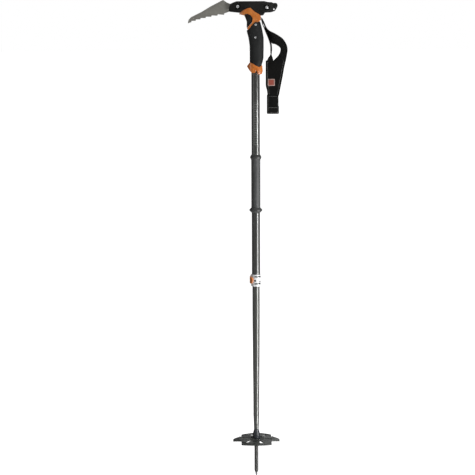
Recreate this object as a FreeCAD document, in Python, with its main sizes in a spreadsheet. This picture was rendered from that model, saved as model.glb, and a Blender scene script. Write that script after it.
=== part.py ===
"""A two-section adjustable pole with a self-arrest ice-axe head, built in millimetres.

The origin is the point of the steel tip, on the shaft axis. +Z runs up the shaft, the pick
points towards -X, and Y is square to the pick's plate. The pole is at its shortest setting.
"""
import FreeCAD, Part
import math
import os

import Sketcher
from FreeCAD import Placement, Rotation, Vector

doc = FreeCAD.newDocument("SelfArrestPole")
sheet = doc.addObject("Spreadsheet::Sheet", "Sizes")


class Size:
    """A length that carries its value and the sheet formula that gives it."""

    def __init__(self, value, formula):
        self.value = float(value)
        self.formula = formula

    def __add__(self, other):
        return Size(self.value + value_of(other), f"({self.formula} + {formula_of(other)})")

    def __sub__(self, other):
        return Size(self.value - value_of(other), f"({self.formula} - {formula_of(other)})")

    def __mul__(self, factor):
        return Size(self.value * factor, f"({self.formula} * {factor})")

    def __truediv__(self, factor):
        return Size(self.value / factor, f"({self.formula} / {factor})")

    def __neg__(self):
        return Size(-self.value, f"(-{self.formula})")


def value_of(length):
    return length.value if isinstance(length, Size) else float(length)


def formula_of(length):
    return length.formula if isinstance(length, Size) else str(length)


# Driving dimensions, in millimetres and degrees.
DRIVING = {
    # steel tip and ferrule
    "tip_foot": 9.3, "tip_radius": 2.4, "tip_shank_radius": 2.0, "tip_shank_top": 24.0,
    "ferrule_radius": 4.5, "ferrule_top": 135.0, "thread_radius": 4.7,
    # snow basket
    "basket_radius": 51.8, "lobe_reach": 43.0, "deck_height": 87.0, "deck_thickness": 2.6,
    "basket_droop": 4.4,
    "hub_radius": 9.0, "hub_foot": 76.0, "hub_cone_foot": 95.5, "hub_top": 108.2,
    "tine_half_width": 15.0, "tine_tip_half_width": 6.5, "lobe_half_width": 33.4, "lobe_corner": 36.0,
    # shafts
    "lower_foot": 108.5, "lower_radius": 7.9, "lower_top": 880.0, "tube_wall": 0.8,
    "upper_foot": 432.5, "upper_radius": 9.0, "upper_top": 985.0, "slide_gap": 0.05,
    "plug_head_height": 12.0, "plug_spigot": 20.0,
    # lever clamp at the joint of the two sections
    "clamp_foot": 431.5, "clamp_top": 457.5, "clamp_radius": 10.9, "lug_reach": 17.5,
    "lug_outside": 4.2, "lug_inside": 1.2, "lever_pivot_x": -8.2, "lever_pivot_y": 14.0,
    "lever_foot": 436.6, "lever_top": 454.6, "lever_inside": 11.2, "lever_outside": 13.9,
    "cam_radius": 3.6, "cam_offset": 0.25, "pivot_radius": 2.0, "clamp_screw_radius": 1.5,
    # second hand sleeve
    "sleeve_foot": 604.0, "sleeve_top": 707.5, "sleeve_radius": 9.8,
    "lower_ring_foot": 593.5, "lower_ring_radius": 14.0,
    "upper_ring_top": 718.5, "upper_ring_radius": 12.1,
    # grip
    "stem_radius": 10.5, "stem_foot": 917.0, "stem_top": 992.0, "core_half_width": 14.0,
    "neck_half_width": 10.0, "neck_top": 1003.0, "grip_half_width": 15.0,
    "collar_half_width": 15.6, "leg_clearance": 0.05,
    "upper_screw_height": 994.2, "lower_screw_height": 968.0, "grip_screw_radius": 2.0,
    # head and pick
    "plate_thickness": 4.0, "head_half_width": 12.5, "front_bolt_x": -37.4,
    "front_bolt_z": 1032.3, "rear_bolt_x": 23.8, "rear_bolt_z": 1030.5, "bolt_radius": 2.5,
    "recess_radius": 6.0, "recess_floor": 7.5, "bolt_head_radius": 3.4,
    "tail_hole_x": 39.1, "tail_hole_z": 1026.5, "tail_hole_radius": 1.75,
    # wrist strap
    "strap_pin_x": 7.6, "strap_pin_z": 1008.5, "strap_pin_radius": 1.6,
    "webbing_width": 22.0, "webbing_thickness": 1.5, "pad_thickness": 4.0,
    "tab_foot": 806.0, "tab_top": 846.5, "tab_thickness": 5.0,
}


class Dimensions:
    """Every driving dimension as an attribute that is a Size."""


dim = Dimensions()
for row, (alias, number) in enumerate(DRIVING.items(), start=1):
    sheet.set(f"A{row}", alias)
    sheet.set(f"B{row}", str(number))
    sheet.setAlias(f"B{row}", alias)
    setattr(dim, alias, Size(number, f"Sizes.{alias}"))
doc.recompute()

pieces = []


# ---------------------------------------------------------------- building helpers

def finish(piece, name):
    """Name a finished sub-part and list it for export."""
    piece.Label = name
    pieces.append(piece)
    return piece


def set_size(feature, path, length):
    """Give a property its value, bound to the sheet where the value is a Size."""
    if isinstance(length, Size):
        feature.setExpression(path, length.formula)
    else:
        feature.setExpression(path, str(length))


def new_body(name):
    return doc.addObject("PartDesign::Body", name)


def new_sketch(body, role, offset=0.0):
    """A sketch on one of the body's own origin planes, moved along that plane's normal."""
    sketch = body.newObject("Sketcher::SketchObject", f"{body.Name}_sketch")
    plane = [part for part in body.Origin.OriginFeatures if part.Role == role][0]
    sketch.AttachmentSupport = [(plane, "")]
    sketch.MapMode = "FlatFace"
    if value_of(offset) != 0.0:
        set_size(sketch, "AttachmentOffset.Base.z", offset)
    return sketch


def fix_point(sketch, geometry, vertex, point):
    """Hold one sketch point at its distances from the origin."""
    for kind, length in (("DistanceX", point[0]), ("DistanceY", point[1])):
        index = sketch.addConstraint(
            Sketcher.Constraint(kind, -1, 1, geometry, vertex, value_of(length)))
        if isinstance(length, Size):
            sketch.setExpression(f"Constraints[{index}]", length.formula)


def draw_polygon(sketch, points):
    """A closed outline of straight lines whose corners follow the sheet."""
    corners = [Vector(value_of(x), value_of(y), 0) for x, y in points]
    lines = []
    for start, end in zip(corners, corners[1:] + corners[:1]):
        lines.append(sketch.addGeometry(Part.LineSegment(start, end), False))
    for this, following in zip(lines, lines[1:] + lines[:1]):
        sketch.addConstraint(Sketcher.Constraint("Coincident", this, 2, following, 1))
    for line, point in zip(lines, points):
        fix_point(sketch, line, 1, point)


def draw_circle(sketch, centre, radius):
    circle = Part.Circle(Vector(value_of(centre[0]), value_of(centre[1]), 0),
                         Vector(0, 0, 1), value_of(radius))
    geometry = sketch.addGeometry(circle, False)
    fix_point(sketch, geometry, 3, centre)
    index = sketch.addConstraint(
        Sketcher.Constraint("Radius", geometry, value_of(radius)))
    if isinstance(radius, Size):
        sketch.setExpression(f"Constraints[{index}]", radius.formula)


def draw_rounded(sketch, corners):
    """A closed outline whose corners, given as (x, y, radius), are tangent arcs."""
    count = len(corners)
    spots = [Vector(x, y, 0) for x, y, _ in corners]
    edges = []
    ends = []
    for index in range(count):
        corner, radius = spots[index], corners[index][2]
        back = (spots[index - 1] - corner).normalize()
        ahead = (spots[(index + 1) % count] - corner).normalize()
        half = back.getAngle(ahead) / 2
        if radius <= 0 or half > math.pi / 2 - 0.01:
            ends.append((corner, corner))
            continue
        reach = radius / math.tan(half)
        middle = corner + (back + ahead).normalize() * (radius / math.sin(half) - radius)
        ends.append((corner + back * reach, corner + ahead * reach))
        edges.append((index, Part.Arc(ends[-1][0], middle, ends[-1][1])))
    arcs = dict(edges)
    order = []
    for index in range(count):
        if index in arcs:
            arc = sketch.addGeometry(arcs[index], False)
            first = sketch.getPoint(arc, 1)
            flipped = (first - ends[index][0]).Length > 1e-6
            order.append((arc, 2 if flipped else 1, 1 if flipped else 2))
        line = Part.LineSegment(ends[index][1], ends[(index + 1) % count][0])
        order.append((sketch.addGeometry(line, False), 1, 2))
    for this, following in zip(order, order[1:] + order[:1]):
        sketch.addConstraint(
            Sketcher.Constraint("Coincident", this[0], this[2], following[0], following[1]))


def pad(body, sketch, length):
    """Extrude a sketch the same distance to both sides of its plane."""
    feature = body.newObject("PartDesign::Pad", f"{body.Name}_pad")
    feature.Profile = sketch
    feature.Midplane = True
    set_size(feature, "Length", length)
    return feature


def pocket(body, sketch, length=60.0):
    """Cut a sketch out of the body, the same distance to both sides of its plane."""
    doc.recompute()
    before = body.Shape.Volume
    feature = body.newObject("PartDesign::Pocket", f"{body.Name}_pocket")
    feature.Profile = sketch
    feature.Midplane = True
    set_size(feature, "Length", length)
    doc.recompute()
    if body.Shape.Volume > before - 1e-6:
        raise RuntimeError(f"a pocket in {body.Name} cuts nothing")
    return feature


def plate(name, corners, thickness, middle=0.0):
    """A plate in the XZ plane; corners are (x, z, radius), and middle is its centre in Y."""
    body = new_body(name)
    sketch = new_sketch(body, "XZ_Plane", -middle if value_of(middle) else 0.0)
    draw_rounded(sketch, corners)
    pad(body, sketch, thickness)
    return body


def turned(name, profile):
    """A round piece: a profile of (radius, height) points turned about the shaft axis."""
    body = new_body(name)
    sketch = new_sketch(body, "XZ_Plane")
    draw_polygon(sketch, profile)
    feature = body.newObject("PartDesign::Revolution", f"{name}_turn")
    feature.Profile = sketch
    feature.ReferenceAxis = (sketch, ["V_Axis"])
    feature.Angle = 360
    return body


def cut_round(body, role, centre, radius, length=60.0, offset=0.0):
    """A round hole square to one of the origin planes."""
    sketch = new_sketch(body, role, offset)
    draw_circle(sketch, centre, radius)
    pocket(body, sketch, length)


def cut_box(body, role, low, high, length=60.0, offset=0.0):
    """A rectangular cut square to one of the origin planes."""
    sketch = new_sketch(body, role, offset)
    draw_polygon(sketch, [low, (high[0], low[1]), high, (low[0], high[1])])
    pocket(body, sketch, length)


def cut_outline(body, role, points, length=60.0, offset=0.0):
    """A straight-sided cut square to one of the origin planes."""
    sketch = new_sketch(body, role, offset)
    draw_polygon(sketch, points)
    pocket(body, sketch, length)


def cut_outside_oval(body, centre_x, half_x, half_y, height):
    """Trim a body to an oval in plan, around one height."""
    sketch = new_sketch(body, "XY_Plane", height)
    far = 80.0
    draw_polygon(sketch, [(-far, -far), (far, -far), (far, far), (-far, far)])
    wide, narrow = max(half_x, half_y), min(half_x, half_y)
    oval = Part.Ellipse(Vector(centre_x, 0, 0), wide, narrow)
    if half_y > half_x:
        oval = Part.Ellipse(Vector(centre_x, half_y, 0), Vector(centre_x + half_x, 0, 0),
                            Vector(centre_x, 0, 0))
    sketch.addGeometry(oval, False)
    pocket(body, sketch)


def rod(name, foot, direction, radius, length):
    """A plain cylinder that starts at foot and runs along direction."""
    cylinder = doc.addObject("Part::Cylinder", name)
    set_size(cylinder, "Radius", radius)
    set_size(cylinder, "Height", length)
    turn = Rotation(Vector(0, 0, 1), direction)
    cylinder.Placement = Placement(Vector(*[value_of(part) for part in foot]), turn)
    for axis, part in zip("xyz", foot):
        if isinstance(part, Size):
            set_size(cylinder, f"Placement.Base.{axis}", part)
    return cylinder


def fuse(name, shapes):
    joined = doc.addObject("Part::MultiFuse", name)
    joined.Shapes = shapes
    return joined


def cut(name, base, tool):
    result = doc.addObject("Part::Cut", name)
    result.Base = base
    result.Tool = tool
    return result


def group(name, members):
    """Several separate solids that share one node."""
    compound = doc.addObject("Part::Compound", name)
    compound.Links = members
    return compound


# ---------------------------------------------------------------- tip, ferrule and basket

def build_carbide_tip():
    point = 0.9
    profile = [
        (0.0, 0.0), (point, 0.6), (dim.tip_radius, 5.0), (dim.tip_radius, dim.tip_foot),
        (dim.tip_shank_radius, dim.tip_foot), (dim.tip_shank_radius, dim.tip_shank_top),
        (0.0, dim.tip_shank_top),
    ]
    finish(turned("carbide_tip", profile), "carbide_tip")


def build_ferrule():
    bore = dim.tip_shank_radius + 0.01
    chamfer = 0.9
    thread_top = dim.lower_foot - 0.2
    profile = [
        (bore, dim.tip_foot), (dim.ferrule_radius - chamfer, dim.tip_foot),
        (dim.ferrule_radius, dim.tip_foot + 2.5), (dim.ferrule_radius, dim.hub_foot),
        (dim.thread_radius, dim.hub_foot), (dim.thread_radius, thread_top),
        (dim.ferrule_radius, thread_top), (dim.ferrule_radius, dim.ferrule_top),
        (0.0, dim.ferrule_top), (0.0, dim.tip_shank_top + 0.01),
        (bore, dim.tip_shank_top + 0.01),
    ]
    finish(turned("ferrule", profile), "ferrule")


def build_basket_hub():
    bore = dim.thread_radius + 0.02
    seat = dim.deck_height - dim.deck_thickness
    step = dim.hub_cone_foot - 3.0
    profile = [
        (bore, dim.hub_foot), (dim.hub_radius - 1.6, dim.hub_foot),
        (dim.hub_radius - 1.2, seat - 2.0), (dim.hub_radius, seat),
        (dim.hub_radius, step), (dim.hub_radius - 1.1, step + 0.5),
        (dim.hub_radius - 1.1, step + 1.4), (dim.hub_radius - 0.6, step + 1.9),
        (dim.hub_radius - 0.7, dim.hub_cone_foot), (bore + 0.3, dim.hub_top),
        (bore, dim.hub_top),
    ]
    finish(turned("basket_hub", profile), "basket_hub")


def slot_outline(sketch, angle, near, far, near_radius, far_radius):
    """A teardrop slot that lies along a radius: two round ends and two straight flanks."""
    along = Vector(math.cos(angle), math.sin(angle), 0)
    across = Vector(-along.y, along.x, 0)
    near_left = along * near + across * near_radius
    near_right = along * near - across * near_radius
    far_left = along * far + across * far_radius
    far_right = along * far - across * far_radius
    shapes = [
        Part.Arc(near_left, along * (near - near_radius), near_right),
        Part.LineSegment(near_right, far_right),
        Part.Arc(far_right, along * (far + far_radius), far_left),
        Part.LineSegment(far_left, near_left),
    ]
    for shape in shapes:
        sketch.addGeometry(shape, False)


def trim_lobe(body, end):
    """Bring the front or back lobe in to a shallow curve between its two corners."""
    reach, side, far = dim.lobe_reach.value, dim.lobe_corner.value, 60.0
    corner = Vector(dim.lobe_half_width.value, side * end, 0)
    mirrored = Vector(-corner.x, corner.y, 0)
    outside = [mirrored, Vector(-far, side * end, 0), Vector(-far, far * end, 0),
               Vector(far, far * end, 0), Vector(far, side * end, 0), corner]
    sketch = new_sketch(body, "XY_Plane", dim.deck_height)
    sketch.addGeometry(Part.Arc(corner, Vector(0, reach * end, 0), mirrored), False)
    for start, stop in zip(outside, outside[1:]):
        sketch.addGeometry(Part.LineSegment(start, stop), False)
    pocket(body, sketch)


def build_basket():
    rim_top = dim.deck_height - dim.basket_droop
    lip = 2.4
    ridge = 1.0
    thin = dim.deck_thickness
    inner_ridge, outer_ridge = 13.0, 38.5
    profile = [
        (dim.hub_radius + 0.02, dim.deck_height), (inner_ridge, dim.deck_height),
        (inner_ridge + 0.4, dim.deck_height + ridge),
        (inner_ridge + 1.8, dim.deck_height + ridge),
        (inner_ridge + 2.2, dim.deck_height - 0.1),
        (30.0, dim.deck_height - 0.6), (outer_ridge, dim.deck_height - 1.4),
        (outer_ridge + 0.4, dim.deck_height - 0.6), (outer_ridge + 1.8, dim.deck_height - 0.9),
        (outer_ridge + 2.2, dim.deck_height - 1.8),
        (46.0, dim.deck_height - 2.8), (dim.basket_radius, rim_top),
        (dim.basket_radius, rim_top - lip), (dim.basket_radius - 2.0, rim_top - lip),
        (dim.basket_radius - 2.2, rim_top - 1.4), (44.0, dim.deck_height - 4.8),
        (30.0, dim.deck_height - thin - 0.8), (dim.hub_radius + 0.02, dim.deck_height - thin),
    ]
    body = turned("basket", profile)
    far = 60.0
    for side in (-1, 1):
        for end in (-1, 1):
            lobe, tine, tip = dim.lobe_half_width, dim.tine_half_width, dim.tine_tip_half_width
            shoulder = (tine + tip) / 2 + 0.75
            corner = [(lobe, tine), (lobe, far), (far, far), (far, tip), (51.0, tip),
                      (44.5, shoulder)]
            points = [(x * side, y * end) for x, y in corner]
            cut_outline(body, "XY_Plane", points, offset=dim.deck_height)
    for end in (-1, 1):
        trim_lobe(body, end)
    doc.recompute()
    sketch = new_sketch(body, "XY_Plane", dim.deck_height)
    slot_outline(sketch, math.radians(50), 20.0, 32.0, 2.6, 4.2)
    first = pocket(body, sketch)
    body.Tip = first
    pattern = body.newObject("PartDesign::PolarPattern", "basket_slots")
    pattern.Originals = [first]
    spin = [part for part in body.Origin.OriginFeatures if part.Role == "Z_Axis"][0]
    pattern.Axis = (spin, [""])
    pattern.Angle = 360
    pattern.Occurrences = 6
    body.Tip = pattern
    finish(body, "basket")


# ---------------------------------------------------------------- sliding sections

def lower_outline():
    """Outside of the lower section, from its narrow foot to its full diameter."""
    full = dim.lower_radius
    return [
        (full - 2.7, dim.lower_foot), (full - 2.5, dim.lower_foot + 4.0),
        (full - 1.9, dim.lower_foot + 17.5), (full - 1.3, dim.lower_foot + 33.5),
        (full - 1.2, dim.lower_foot + 82.0), (full - 0.65, dim.lower_foot + 139.0),
        (full, dim.lower_foot + 240.0), (full, dim.lower_top),
    ]


def build_lower_shaft():
    outside = lower_outline()
    socket = dim.ferrule_radius + 0.02
    inside = [(radius - dim.tube_wall, height) for radius, height in outside[3:]]
    throat = dim.ferrule_top + 1.0
    profile = outside + inside[::-1] + [(socket, throat), (socket, dim.lower_foot)]
    finish(turned("lower_shaft", profile), "lower_shaft")


def build_guide_plug():
    bore = dim.lower_radius - dim.tube_wall
    spigot = bore - dim.slide_gap
    tube_bore = dim.upper_radius - dim.tube_wall
    head = tube_bore - dim.slide_gap
    shoulder = dim.lower_top + 0.1
    profile = [
        (0.0, dim.lower_top - dim.plug_spigot), (spigot - 0.8, dim.lower_top - dim.plug_spigot),
        (spigot, dim.lower_top - dim.plug_spigot + 1.0), (spigot, shoulder),
        (head, shoulder), (head, shoulder + dim.plug_head_height - 1.0),
        (head - 1.0, shoulder + dim.plug_head_height), (0.0, shoulder + dim.plug_head_height),
    ]
    finish(turned("guide_plug", profile), "guide_plug")


def build_upper_shaft():
    bore = dim.upper_radius - dim.tube_wall
    profile = [
        (bore, dim.upper_foot), (dim.upper_radius, dim.upper_foot),
        (dim.upper_radius, dim.upper_top), (bore, dim.upper_top),
    ]
    body = turned("upper_shaft", profile)
    slit_half, slit_top = 0.8, dim.clamp_top - 2.0
    cut_box(body, "XZ_Plane", (-slit_half, dim.upper_foot - 1.0), (slit_half, slit_top))
    hole = dim.grip_screw_radius + 0.03
    cut_round(body, "XZ_Plane", (-0.5, dim.lower_screw_height), hole)
    finish(body, "upper_shaft")


def build_shaft_plug():
    radius = dim.upper_radius - dim.tube_wall - 0.02
    foot = dim.upper_top - 47.0
    profile = [(0.0, foot), (radius, foot), (radius, dim.upper_top), (0.0, dim.upper_top)]
    body = turned("shaft_plug", profile)
    half = dim.plate_thickness / 2 + dim.leg_clearance
    sketch = new_sketch(body, "YZ_Plane")
    draw_polygon(sketch, [(-half, foot + 10.0), (half, foot + 10.0),
                          (half, dim.upper_top + 1.0), (-half, dim.upper_top + 1.0)])
    pocket(body, sketch)
    hole = dim.grip_screw_radius + 0.03
    cut_round(body, "XZ_Plane", (-0.5, dim.lower_screw_height), hole)
    finish(body, "shaft_plug")


# ---------------------------------------------------------------- lever clamp

def build_clamp_band():
    bore = dim.upper_radius + 0.02
    profile = [
        (bore, dim.clamp_foot), (dim.clamp_radius, dim.clamp_foot),
        (dim.clamp_radius, dim.clamp_top), (bore, dim.clamp_top),
    ]
    body = turned("clamp_band", profile)
    middle = (dim.clamp_foot + dim.clamp_top) / 2
    lugs = new_sketch(body, "XY_Plane", middle)
    root = dim.upper_radius + 0.8
    draw_polygon(lugs, [(-dim.lug_outside, root), (dim.lug_outside, root),
                        (dim.lug_outside, dim.lug_reach), (-dim.lug_outside, dim.lug_reach)])
    pad(body, lugs, dim.clamp_top - dim.clamp_foot - 2.0)
    cut_box(body, "XY_Plane", (-dim.lug_inside, 0.0), (dim.lug_inside, dim.lug_reach + 1.0),
            offset=middle)
    slot_height, lower_slot, upper_slot = 3.2, -6.8, 8.6
    far = dim.clamp_radius + 2.0
    for rise in (lower_slot, upper_slot):
        cut_box(body, "XY_Plane", (-3.2, -far), (far, 0.0), slot_height, middle + rise)
    notch_height, notch_drop = 2.2, 1.9
    cut_box(body, "XY_Plane", (7.2, -far), (far, 0.0), notch_height, middle - notch_drop)
    front = new_sketch(body, "XZ_Plane", far)
    sight_hole = 2.2
    draw_circle(front, (-sight_hole, middle), sight_hole)
    pocket(body, front, dim.clamp_radius)
    hole = dim.clamp_screw_radius + 0.03
    cut_round(body, "YZ_Plane", (dim.lever_pivot_y, middle), hole, 20.0)
    finish(body, "clamp_band")


def build_clamp_screw():
    middle = (dim.clamp_foot + dim.clamp_top) / 2
    past_pivot, height = 0.9, 2.6
    reach = dim.lever_pivot_x - past_pivot
    shank = rod("clamp_screw_shank", (reach, dim.lever_pivot_y, middle), Vector(1, 0, 0),
                dim.clamp_screw_radius, dim.lug_outside - reach + 0.01)
    head = rod("clamp_screw_head", (dim.lug_outside + 0.01, dim.lever_pivot_y, middle),
               Vector(1, 0, 0), 2.9, height)
    recess = rod("clamp_screw_socket", (dim.lug_outside + 1.2, dim.lever_pivot_y, middle),
                 Vector(1, 0, 0), 1.3, height)
    screw = cut("clamp_screw", fuse("clamp_screw_blank", [shank, head]), recess)
    finish(screw, "clamp_screw")


def build_lever_pin():
    middle = (dim.clamp_foot + dim.clamp_top) / 2
    foot = dim.lever_foot - 0.6
    height = dim.lever_top - dim.lever_foot + 1.2
    pin = rod("lever_pin_blank", (dim.lever_pivot_x, dim.lever_pivot_y, foot), Vector(0, 0, 1),
              dim.pivot_radius, height)
    thread = rod("lever_pin_thread", (dim.lever_pivot_x - 4.0, dim.lever_pivot_y, middle),
                 Vector(1, 0, 0), dim.clamp_screw_radius + 0.02, 8.0)
    finish(cut("lever_pin", pin, thread), "lever_pin")


def shaft_arc(radius, start, end):
    """An arc about the shaft axis between two angles."""
    circle = Part.Circle(Vector(0, 0, 0), Vector(0, 0, 1), radius)
    return Part.ArcOfCircle(circle, start, end)


def build_lock_lever():
    start, end = math.radians(119), math.radians(238)
    inside, outside = dim.lever_inside, dim.lever_outside
    middle = (dim.lever_foot + dim.lever_top) / 2
    height = dim.lever_top - dim.lever_foot
    body = new_body("lock_lever")
    shell = new_sketch(body, "XY_Plane", middle)
    inner_arc = shaft_arc(inside.value, start, end)
    outer_arc = shaft_arc(outside.value, start, end)
    shell.addGeometry(inner_arc, False)
    shell.addGeometry(outer_arc, False)
    for edge in (Part.LineSegment(inner_arc.StartPoint, outer_arc.StartPoint),
                 Part.LineSegment(inner_arc.EndPoint, outer_arc.EndPoint)):
        shell.addGeometry(edge, False)
    pad(body, shell, height)
    cam = new_sketch(body, "XY_Plane", middle)
    draw_circle(cam, (dim.lever_pivot_x + dim.cam_offset, dim.lever_pivot_y), dim.cam_radius)
    pad(body, cam, height)
    cut_round(body, "XY_Plane", (dim.lever_pivot_x, dim.lever_pivot_y),
              dim.pivot_radius + 0.05, offset=middle)
    tip = -dim.lever_outside - 1.0
    lever_depth, lever_depth_middle = 36.0, 3.0
    front_depth, front_middle = 14.0, 7.0
    for face, sign, drop in ((dim.lever_top, 1, 4.5), (dim.lever_foot, -1, 3.0)):
        corner = [(tip, face + 1.0 * sign), (-6.0, face + 1.0 * sign), (-6.0, face),
                  (tip, face - drop * sign)]
        cut_outline(body, "XZ_Plane", corner, lever_depth, lever_depth_middle)
        # The free end is rounded off at the front, for a thumb.
        free_end = [(-6.0, face + 1.0 * sign), (-6.0, face - 5.5 * sign),
                    (-7.6, face - 5.0 * sign), (-9.6, face - 2.0 * sign),
                    (-12.0, face - 0.4 * sign), (-12.0, face + 1.0 * sign)]
        cut_outline(body, "XZ_Plane", free_end, front_depth, front_middle)
    sweep = math.radians(-15)
    along = Vector(math.cos(sweep), math.sin(sweep), 0)
    across = Vector(-along.y, along.x, 0)
    pivot = Vector(dim.lever_pivot_x.value, dim.lever_pivot_y.value, 0)
    reach, below = 9.0, 2.1
    corners = [pivot - along * reach - across * below, pivot + along * reach - across * below,
               pivot + along * reach + across * reach, pivot - along * reach + across * reach]
    screw_height = (dim.clamp_foot + dim.clamp_top) / 2
    cut_outline(body, "XY_Plane", [(corner.x, corner.y) for corner in corners], 4.4,
                screw_height)
    finish(body, "lock_lever")


# ---------------------------------------------------------------- second hand sleeve

def build_choke_sleeve():
    bore = dim.upper_radius + 0.02
    profile = [(bore, dim.sleeve_foot), (dim.sleeve_radius, dim.sleeve_foot),
               (dim.sleeve_radius, dim.sleeve_top), (bore, dim.sleeve_top)]
    finish(turned("choke_sleeve", profile), "choke_sleeve")


def build_sleeve_rings():
    bore = dim.upper_radius + 0.02
    flat = 1.1
    rings = {
        "lower_sleeve_ring": (dim.lower_ring_foot, dim.sleeve_foot, dim.lower_ring_radius),
        "upper_sleeve_ring": (dim.sleeve_top, dim.upper_ring_top, dim.upper_ring_radius),
    }
    for name, (foot, top, radius) in rings.items():
        middle = (foot + top) / 2
        profile = [
            (bore, foot), (bore + 0.9, foot), (radius, middle - flat),
            (radius, middle + flat), (bore + 0.9, top), (bore, top),
        ]
        finish(turned(name, profile), name)


# ---------------------------------------------------------------- grip

def hook_corners():
    """Side view of the orange hook under the head, from its beak round over the top."""
    return [
        (-34.9, 1016.4, 1.0), (-32.8, 1019.4, 2.0), (-25.2, 1025.0, 8.0), (-17.8, 1028.2, 8.0),
        (-10.6, 1029.6, 1.2), (-2.5, 1021.8, 8.0), (4.9, 1017.6, 6.0), (11.2, 1013.4, 0.8),
        (10.6, 1003.6, 1.0), (8.2, 1001.0, 1.0), (-0.4, 1000.2, 2.0), (-16.3, 984.4, 0.8),
        (-18.2, 987.0, 0.8), (-7.8, 998.4, 6.0), (-5.4, 1007.2, 6.0), (-10.2, 1014.4, 5.0),
        (-17.0, 1017.4, 5.0), (-23.1, 1016.3, 1.5), (-23.4, 1013.8, 0.5),
    ]


def build_grip_core():
    body = plate("grip_core", hook_corners(), dim.core_half_width * 2)
    cut_outside_oval(body, -6.0, 34.0, dim.core_half_width.value + 0.4, dim.neck_top)
    stem = new_sketch(body, "XY_Plane", (dim.stem_foot + dim.stem_top) / 2)
    draw_circle(stem, (0.0, 0.0), dim.stem_radius)
    pad(body, stem, dim.stem_top - dim.stem_foot)
    neck = new_sketch(body, "XZ_Plane")
    draw_polygon(neck, [(-7.8, dim.upper_top), (7.6, dim.upper_top), (7.6, dim.neck_top),
                        (-5.8, dim.neck_top), (-7.8, dim.neck_top - 5.0)])
    pad(body, neck, dim.neck_half_width * 2)
    half_height = (dim.upper_top - dim.stem_foot) / 2 + 1.0
    cut_round(body, "XY_Plane", (0.0, 0.0), dim.upper_radius + 0.02, half_height * 2,
              dim.upper_top - half_height)
    slot = dim.plate_thickness + dim.leg_clearance * 2
    cut_outline(body, "XZ_Plane", [(-7.6, dim.upper_top - 1.0), (3.6, dim.upper_top - 1.0),
                                   (3.6, 1040.0), (-18.0, 1040.0), (-18.0, 1026.0),
                                   (-7.6, 1022.0)], slot)
    cut_box(body, "XZ_Plane", (4.2, dim.strap_pin_z - 3.6), (14.0, dim.strap_pin_z + 4.4),
            dim.webbing_width + 1.0)
    cut_round(body, "XZ_Plane", (dim.strap_pin_x, dim.strap_pin_z), dim.strap_pin_radius + 0.01,
              dim.core_half_width * 2 - 2.0)
    for x, z in ((0.0, dim.upper_screw_height), (-0.5, dim.lower_screw_height)):
        cut_round(body, "XZ_Plane", (x, z), dim.grip_screw_radius + 0.03)
    finish(body, "grip_core")


def build_finger_pad():
    corners = [
        (-23.4, 1013.6, 0.5), (-23.2, 1016.1, 1.4), (-17.0, 1017.2, 4.9), (-10.3, 1014.2, 4.9),
        (-5.6, 1007.2, 5.9), (-8.0, 998.6, 5.9), (-17.9, 987.6, 0.8), (-18.6, 990.0, 1.0),
        (-18.2, 1000.2, 8.0), (-20.1, 1006.2, 6.0),
    ]
    body = plate("finger_pad", corners, dim.core_half_width * 2 - 3.0)
    cut_outside_oval(body, 0.0, 24.5, dim.core_half_width.value, dim.neck_top)
    half = dim.neck_half_width + 0.05
    cut_box(body, "XZ_Plane", (-7.9, dim.upper_top - 1.0), (7.6, dim.neck_top + 0.05), half * 2)
    slot = dim.plate_thickness + dim.leg_clearance * 2
    cut_box(body, "XZ_Plane", (-7.6, dim.neck_top), (3.6, 1040.0), slot)
    finish(body, "finger_pad")


def grip_section(left, right):
    """Plan of the grip at one height: a slightly squared oval as one closed curve."""
    centre, half_x = (left + right) / 2, (right - left) / 2
    half_y = dim.grip_half_width.value
    count, squareness = 16, 2.0 / 2.3
    points = []
    for index in range(count):
        angle = 2 * math.pi * index / count
        across, along = math.cos(angle), math.sin(angle)
        x = centre + half_x * math.copysign(abs(across) ** squareness, across)
        y = half_y * math.copysign(abs(along) ** squareness, along)
        points.append(Vector(x, y, 0))
    curve = Part.BSplineCurve()
    curve.interpolate(points, PeriodicFlag=True)
    return curve


def build_grip_cover():
    body = new_body("grip_cover")
    stations = [
        (898.0, -12.2, 9.5), (908.0, -12.3, 12.4), (916.0, -12.4, 15.2), (925.0, -12.4, 17.2),
        (950.0, -12.4, 17.4), (960.0, -13.7, 17.4), (967.5, -14.9, 17.3), (980.0, -18.2, 15.2),
        (990.0, -19.4, 13.0), (1004.0, -20.0, 9.2),
    ]
    sections = []
    for height, left, right in stations:
        sketch = new_sketch(body, "XY_Plane", height)
        sketch.addGeometry(grip_section(left, right), False)
        sections.append(sketch)
    loft = body.newObject("PartDesign::AdditiveLoft", "grip_loft")
    loft.Profile = sections[0]
    loft.Sections = sections[1:]
    doc.recompute()
    cut_outline(body, "XZ_Plane", [(-40.0, 960.9), (-0.4, 1000.0), (8.4, 1000.9),
                                   (40.0, 1000.9), (40.0, 1060.0), (-40.0, 1060.0)])
    cut_outline(body, "XZ_Plane", [(-40.0, 931.5), (7.6, 905.4), (40.0, 928.0),
                                   (40.0, 850.0), (-40.0, 850.0)])
    cut_round(body, "XY_Plane", (0.0, 0.0), dim.upper_radius + 0.02, 80.0, 900.0)
    cut_round(body, "XY_Plane", (0.0, 0.0), dim.stem_radius + 0.02,
              dim.stem_top - dim.stem_foot + 0.04, (dim.stem_foot + dim.stem_top) / 2)
    half = dim.neck_half_width + 0.05
    cut_box(body, "XZ_Plane", (-7.9, dim.upper_top), (7.7, dim.neck_top + 5.0), half * 2)
    recess, floor = 2.6, 2.0
    for x, z in ((0.0, dim.upper_screw_height), (-0.5, dim.lower_screw_height)):
        cut_round(body, "XZ_Plane", (x, z), dim.grip_screw_radius + 0.03)
        for side in (-1, 1):
            cut_round(body, "XZ_Plane", (x, z), recess, floor * 2,
                      dim.grip_half_width * side)
    finish(body, "grip_cover")


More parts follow.
